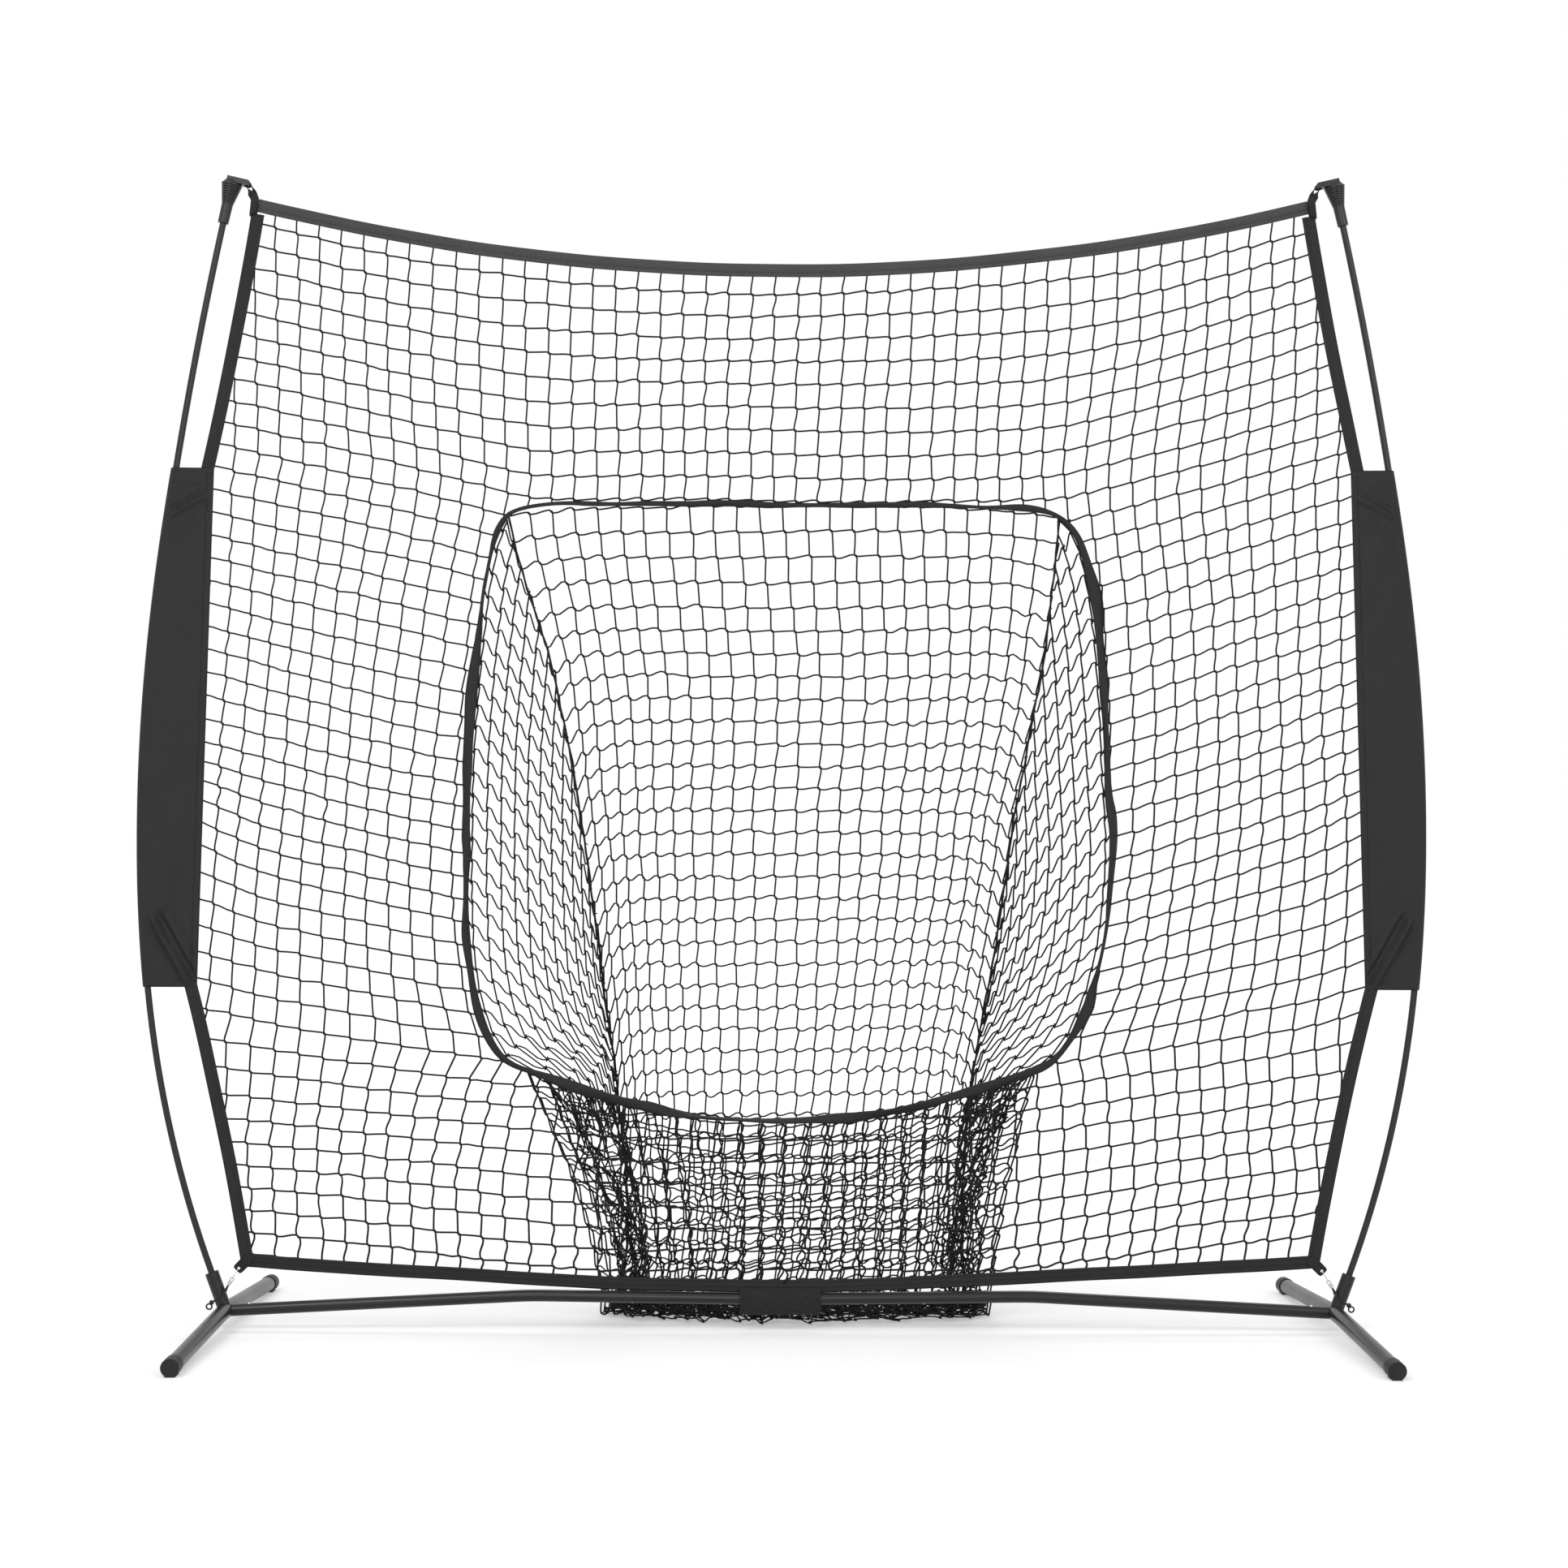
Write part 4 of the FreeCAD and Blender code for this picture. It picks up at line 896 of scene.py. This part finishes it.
# ---- Pole sleeves ----
# Doubled black polyester, sewn into a pocket that slides over the pole. Its hem runs along the
# netting's edge. It is stretched between hem and pole, with creases running in from its ends.
def pole_x(z):
    """Middle line of the pole beside the sleeve, read from the pole's own solid."""
    return np.interp(z, pole_heights, pole_places)


pole_points = np.array([(vertex.co.z / MM, vertex.co.x / MM) for part in ("lower", "middle", "upper")
                        for vertex in frame["nodes"]["right_pole_" + part].data.vertices])
pole_heights = np.linspace(90, 2080, 120)
pole_places = []
for height in pole_heights:
    near = pole_points[np.argsort(np.abs(pole_points[:, 0] - height))[:60]]
    pole_places.append((near[:, 1].min() + near[:, 1].max()) / 2)
pole_places = np.polynomial.Polynomial.fit(pole_heights, pole_places, 7)(pole_heights)

sleeve_low, sleeve_high = 633.0, 1592.0
hem_low, hem_high = 1079.0, 1050.0      # the hem's place at the sleeve's ends
hem_wide = 12.0
sleeve_r = 8.9


def hem_x(z):
    return np.interp(z, (sleeve_low, sleeve_high), (hem_low, hem_high))


# Creases on the front: from and to, as distances from the inner edge and from the nearer hem,
# how steeply their lit side falls, and how wide they are.
sleeve_creases = ((17, 22, 76, 124, 0.85, 11), (73, -79, 23, -51, -0.75, 8), (69, -31, 42, -25, -0.55, 4),
                  (80, -130, 36, -92, -0.25, 9), (50, 60, 88, 150, 0.2, 8))


def creased(x, z):
    """Relief of the sleeve's front at distances from its inner edge, at one height."""
    relief = np.zeros_like(x)
    for x0, z0, x1, z1, fall, wide in sleeve_creases:
        hem = sleeve_low if z0 > 0 else sleeve_high
        length = math.hypot(x1 - x0, z1 - z0)
        way = (x1 - x0) / length, (z1 - z0) / length
        along = (x - x0) * way[0] + (z - hem - z0) * way[1]
        beside = (z - hem - z0) * way[0] - (x - x0) * way[1]
        fade = np.exp(-(np.maximum(0, np.abs(along - length / 2) - length / 2) / 12) ** 2)
        valleys = sum(np.exp(-((beside + shift * wide) / (0.5 * wide)) ** 2) for shift in (-2.2, 2.2))
        relief -= fade * (fall * beside * np.exp(-(beside / wide) ** 4) + abs(fall) * 0.25 * wide * valleys)
    return relief


def sleeve_rings(sign):
    """Sections of a sleeve from its lower hem to its upper one."""
    z = np.linspace(sleeve_low, sleeve_high, 240)
    share = (z - sleeve_low) / (sleeve_high - sleeve_low)
    turn = np.radians(np.linspace(104, -104, 15))
    across = np.linspace(0, 1, 32)[:-1]
    rings = []
    for height, edge, pole, part in zip(z, hem_x(z), pole_x(z), share):
        front_x = edge + across * (pole - edge)
        relief = creased(front_x - edge, height) * np.clip(across * 12, 0, 1) * np.clip((1 - across) * 8, 0, 1)
        swell = np.sin(across * math.pi) ** 1.2
        tension = 1.2 * np.sin(part * 19 + across * 5) * np.sin(part * 7.3) + 0.8 * np.sin(part * 53 - across * 9)
        near = -3.2 - (sleeve_r - 3.2) * across ** 3 - swell * (2.6 + 0.9 * tension) - relief
        far = -1.3 + (sleeve_r + 1.3) * across ** 3 + swell * (0.8 - 0.5 * tension) - 0.4 * relief
        near = near + 0.9 * np.exp(-((front_x - edge - hem_wide) / 1.6) ** 2)
        ring_x = np.concatenate([front_x, pole + sleeve_r * np.cos(turn), front_x[::-1]])
        ring_y = np.concatenate([near, -sleeve_r * np.sin(turn), far[::-1]])
        rings.append(np.stack([sign * ring_x, ring_y, np.full_like(ring_x, height)], 1))
    rings = np.array(rings)
    return rings if sign > 0 else rings[:, ::-1]


def thicken(piece, thickness):
    """Give an open skin its cloth's thickness, inward."""
    skin = piece.modifiers.new("cloth", "SOLIDIFY")
    skin.thickness = thickness * MM
    skin.offset = -1


sleeve_cloth = finish("sleeve_cloth", 0.012, 0.38, woven(0.55, 0.006, 0.015, 0.42, 0.35), Specular_IOR_Level=0.24)
for side, sign in SIDES.items():
    sleeve = lofted(side + "sleeve", sleeve_rings(sign), sleeve_cloth, "sleeve_fabric", side + "pole_sleeve",
                    caps=False)
    thicken(sleeve, 0.9)
    z = np.linspace(sleeve_low + 3, sleeve_high - 3, 40)
    stitches = [stitching(np.stack([sign * (hem_x(z) + hem_wide), z], 1), 0, -3.9)]
    for height in (sleeve_low + 13, sleeve_high - 13):
        x = np.linspace(hem_x(height) + 2, pole_x(height) - 8, 12)
        stitches.append(stitching(np.stack([sign * x, np.full(12, height)], 1), 0, -5.2))
    sewn = add_strands(side + "sleeve_seams", stitches, thread, "sleeve_fabric")
    float(run_along(sleeve_rings(1)[120])[-1]) * MM

# ---- Corner straps ----
# Black webbing looped round the pin of each pole cap's arm. The loop turns flat on its way down
# and its two ends are sewn with a boxed cross to the front and back of the netting's corner.
strap_web = finish("strap_web", 0.016, 0.55, woven(1.1, 0.006, 0.022, 0.55, 0.7), Specular_IOR_Level=0.3)
pin_place = np.array((988.8, -0.9, 2117.4))
pin_turn_r = 4.2                # pin's middle to the middle of the webbing round it
strap_run = 43.2                # pin to the netting's corner
strap_tail = 17.0               # below the corner
strap_width = 15.0


def slab_axes(node):
    """Middle, long way and half lengths of a flat CAD plate in the net's plane."""
    spots = np.array([vertex.co[:] for vertex in frame["nodes"][node].data.vertices]) / MM
    flat = spots[:, [0, 2]]
    middle = (flat.min(0) + flat.max(0)) / 2
    corners = flat - middle
    far = corners[np.argsort(-np.linalg.norm(corners, axis=1))]
    best = None
    for angle in np.radians(np.arange(0, 180, 0.25)):
        way = np.array([math.cos(angle), math.sin(angle)])
        across = np.array([-way[1], way[0]])
        size = np.ptp(far @ way), np.ptp(far @ across)
        if best is None or size[0] * size[1] < best[0]:
            best = (size[0] * size[1], way, size)
    _, way, size = best
    if size[1] > size[0]:
        way, size = np.array([-way[1], way[0]]), size[::-1]
    if way[1] > 0:
        way = -way
    return middle, way, size[0] / 2, size[1] / 2


def ribbon(path, sideways, widths, thickness):
    """Sections of a soft flat ribbon along a path in space, sideways being its width's way."""
    ahead = np.gradient(path, axis=0)
    ahead = ahead / np.linalg.norm(ahead, axis=1)[:, None]
    side = sideways / np.linalg.norm(sideways, axis=1)[:, None]
    out = np.cross(ahead, side)
    lower = np.array([(-1, -0.3), (-0.94, -0.85), (-0.5, -1.05), (0, -1), (0.5, -1.05), (0.94, -0.85), (1, -0.3)])
    shape = np.concatenate([lower, lower[::-1] * (1, -1)])
    wide = shape[:, 0] * widths[:, None] / 2
    deep = shape[:, 1] * thickness / 2
    return path[:, None] + side[:, None] * wide[:, :, None] + out[:, None] * deep[None, :, None]


def boxed_cross(middle, way, half_l, half_w, y):
    """Stitches in a rectangle with both diagonals."""
    side = np.array([-way[1], way[0]])
    a, b, c, d = (middle + way * half_l * i + side * half_w * j for i, j in ((-1, -1), (1, -1), (1, 1), (-1, 1)))
    return [stitching(smooth_path([start, end], 20), 0, y, 3.4, 2.4, 0.45)
            for start, end in ((a, b), (b, c), (c, d), (d, a), (a, c), (b, d))]


strap_down = np.array((-0.412, 0, -0.911))
strap_hang = np.array((0.10, 0, -0.995))
strap_outer = np.array((0.911, 0, -0.412))
strap_gaps = {1: 4.7, -1: 3.4}          # of the front and the back leg from the pin's plane, at the corner


def strap_leg(side):
    """Middle line and width's way of one leg, from the pin to the end of its tail."""
    along = np.linspace(0, 1, 22) * (strap_run + strap_tail)
    share = np.clip((along - 6) / (strap_run - 20), 0, 1)
    share = share * share * (3 - 2 * share)
    turn = (share * math.pi / 2)[:, None]
    deep = np.array((0, 1, 0))
    outward = strap_outer * np.cos(turn) - deep * np.sin(turn)
    offset = pin_turn_r * (1 - share) + strap_gaps[side] * share
    low = np.clip(along - strap_run + 12, 0, None)[:, None]
    middle = pin_place + strap_down * (along[:, None] - low) + strap_hang * low + outward * (side * offset)[:, None]
    return middle, strap_outer * np.sin(turn) + deep * np.cos(turn)


for side, sign in SIDES.items():
    mirror = np.array((sign, 1, 1))
    front, front_across = strap_leg(1)
    back, back_across = strap_leg(-1)
    a = np.radians(np.linspace(20, 160, 7))[:, None]
    over = pin_place + pin_turn_r * (strap_outer * np.cos(a) - strap_down * np.sin(a))
    path = np.concatenate([front[::-1], over, back]) * mirror
    across = np.concatenate([front_across[::-1], np.tile((0.0, 1.0, 0.0), (7, 1)), back_across]) * mirror
    widths = strap_width - 1.5 * np.sin(np.linspace(0, math.pi, len(path))) ** 4
    strap = lofted(side + "strap", ribbon(path, across, widths, 1.5), strap_web, "strap_webbing",
                   side + "corner_strap")
    end_way = (strap_hang * mirror)[[0, 2]]
    box_middle = front[-1][[0, 2]] * mirror[[0, 2]] - end_way * 11
    cross = boxed_cross(box_middle, end_way, 8, 5.5, -6.3)
    sewn = add_strands(side + "strap_cross", cross, thread, "strap_webbing")

# ---- Bottom corner tabs ----
# A tab of the same webbing is sewn on each bottom corner, with a hole that the tie's link
# passes through.
tab_hole_r = 2.6
tab_end = 6.0                   # hole's middle to the tab's end


def rounded(count, power, half_l, half_w):
    """Rectangle with round corners, the rounder the greater the power; at 1 it is an ellipse."""
    turn = np.linspace(0, 2 * math.pi, count, endpoint=False)
    round_way = np.stack([np.cos(turn), np.sin(turn)], 1)
    return np.sign(round_way) * np.abs(round_way) ** power * (half_l, half_w)


for side in SIDES:
    middle, way, half_l, half_w = slab_axes(side + "corner_tab")
    hole = middle + way * (half_l - tab_end)
    lateral = np.array([-way[1], way[0]])
    outline = rounded(44, 0.32, half_l, half_w) - np.array([half_l - tab_end, 0])
    stages = [(0, -4.9), (0.12, -5.15), (0.5, -5.05), (0.85, -5.1), (0.97, -5.0), (1.0, -4.3),
              (0.97, -3.35), (0.5, -3.25), (0.1, -3.3), (0, -3.6)]
    rings = []
    for part, y in stages:
        ring = rounded(44, 1, tab_hole_r, tab_hole_r) * (1 - part) + outline * part
        rings.append(in_plane(hole + np.outer(ring[:, 0], way) + np.outer(ring[:, 1], lateral), np.full(44, y)))
    tab = lofted(side + "tab", np.array(rings)[::-1], strap_web, "strap_webbing", side + "corner_tab", closed=True)
    cross = boxed_cross(hole - way * 20, way, 8, 7, -5.15)
    sewn = add_strands(side + "tab_cross", cross, thread, "strap_webbing")
    2 * half_w * MM
    2 * half_l * MM

# ---- Wrap and flap ----
# A soft fabric wrap sewn to the middle of the bottom tape goes loosely round the bar, and a
# flap with a hook-and-loop patch closes it at the back.
wrap_low, wrap_high = (Vector(corner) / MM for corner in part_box("bar_wrap"))
wrap_side = wrap_high.y
bar_z = 60.0


def wrap_rings():
    """Sections of the wrap from end to end, creased across its front and under the bar."""
    low_middle = wrap_low.z + wrap_side
    under = np.radians(np.linspace(180, 360, 25))
    loop = [(-wrap_side + 0.2, bar_z + 5)]
    loop += [(wrap_side * math.cos(a), low_middle + wrap_side * math.sin(a)) for a in under]
    loop += [(wrap_side - 0.2, bar_z + 5), (8.2, 73.4), (3.4, wrap_high.z), (-5.2, wrap_high.z), (-9.0, 74.0)]
    loop = smooth_path(loop + loop[:1], 49)[:-1]
    x = np.linspace(wrap_low.x, wrap_high.x, 76)
    away = loop - np.array([0, 55.0])
    away = away / np.linalg.norm(away, axis=1)[:, None]
    frontness = np.clip(-loop[:, 0] / wrap_side, 0, 1) + np.clip((46 - loop[:, 1]) / 12, 0, 1) * 0.6
    rings = []
    for place in x:
        zigzag = np.abs(((place / 17 + loop[:, 1] * 0.055) % 1) - 0.5) * 2
        cross = np.abs(((place / 23 - loop[:, 1] * 0.075 + 0.3) % 1) - 0.5) * 2
        crease = 1.5 * np.exp(-(zigzag / 0.28) ** 2) + 1.2 * np.exp(-(cross / 0.25) ** 2)
        hem = -0.5 * np.exp(-((abs(place) - 68) / 1.6) ** 2)
        lift = (crease - 1.2 + hem) * np.clip(frontness, 0, 1)
        ring = loop + away * lift[:, None]
        rings.append(np.stack([np.full(len(ring), place), ring[:, 0], ring[:, 1]], 1))
    return np.array(rings)


wrap_cloth = finish("wrap_cloth", 0.02, 0.7, woven(0.7, 0.010, 0.024, 0.72, 0.5), Specular_IOR_Level=0.25)
wrap = lofted("bar_sleeve", wrap_rings(), wrap_cloth, "wrap_fabric", "bar_wrap", caps=False)
thicken(wrap, 1.2)
girth = float(run_along(wrap_rings()[40])[-1])

flap_low, flap_high = (Vector(corner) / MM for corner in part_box("wrap_flap"))
flap_middle = (flap_low + flap_high) / 2
flap_half_x = (flap_high.x - flap_low.x) / 2
flap_half_z = (flap_high.z - flap_low.z) / 2
rim_line = rounded(96, 0.22, flap_half_x, flap_half_z)
stages = [(part, flap_low.y + lift) for part, lift in ((0.02, 0.15), (0.5, 0.1), (0.9, 0.15), (1.0, 0.6))]
stages += [(part, flap_high.y - drop) for part, drop in (
    (1.0, 0.5), (0.95, 0.05), (0.86, 0.1), (0.83, 0.45), (0.8, 0.1), (0.5, 0), (0.02, 0))]
rings = [in_plane(np.array((flap_middle.x, flap_middle.z)) + rim_line * part, np.full(96, y)) for part, y in stages]
flap = lofted("closing_flap", np.array(rings), wrap_cloth, "wrap_fabric", "wrap_flap")
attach(flap, "flap")

# ---- Elastic corner ties ----
# A clear acetal link, a crimped alloy ferrule, and a doubled black elastic cord knotted round
# the pole socket pull each bottom corner tight.
braid = worn((70.0, 4.0), (0.2, 0.5), (0.010, 0.026), relief=(0.6, 0.0005), wave=(330.0, 1.2, "DIAGONAL"))
elastic = finish("elastic", 0.012, 0.6, braid, Specular_IOR_Level=0.3)
glassy = worn((200.0, 3.0), (0.15, 0.06), (0.80, 0.95))
clear = finish("clear_acetal", 0.9, 0.12, glassy, Transmission_Weight=0.6, IOR=1.46)
alloy = finish("alloy", 0.6, 0.35, plated, Metallic=0.9)
dress(elastic, "tie_cords", "tie_knot")
dress(clear, "tie_link")
dress(alloy, "tie_ferrule")
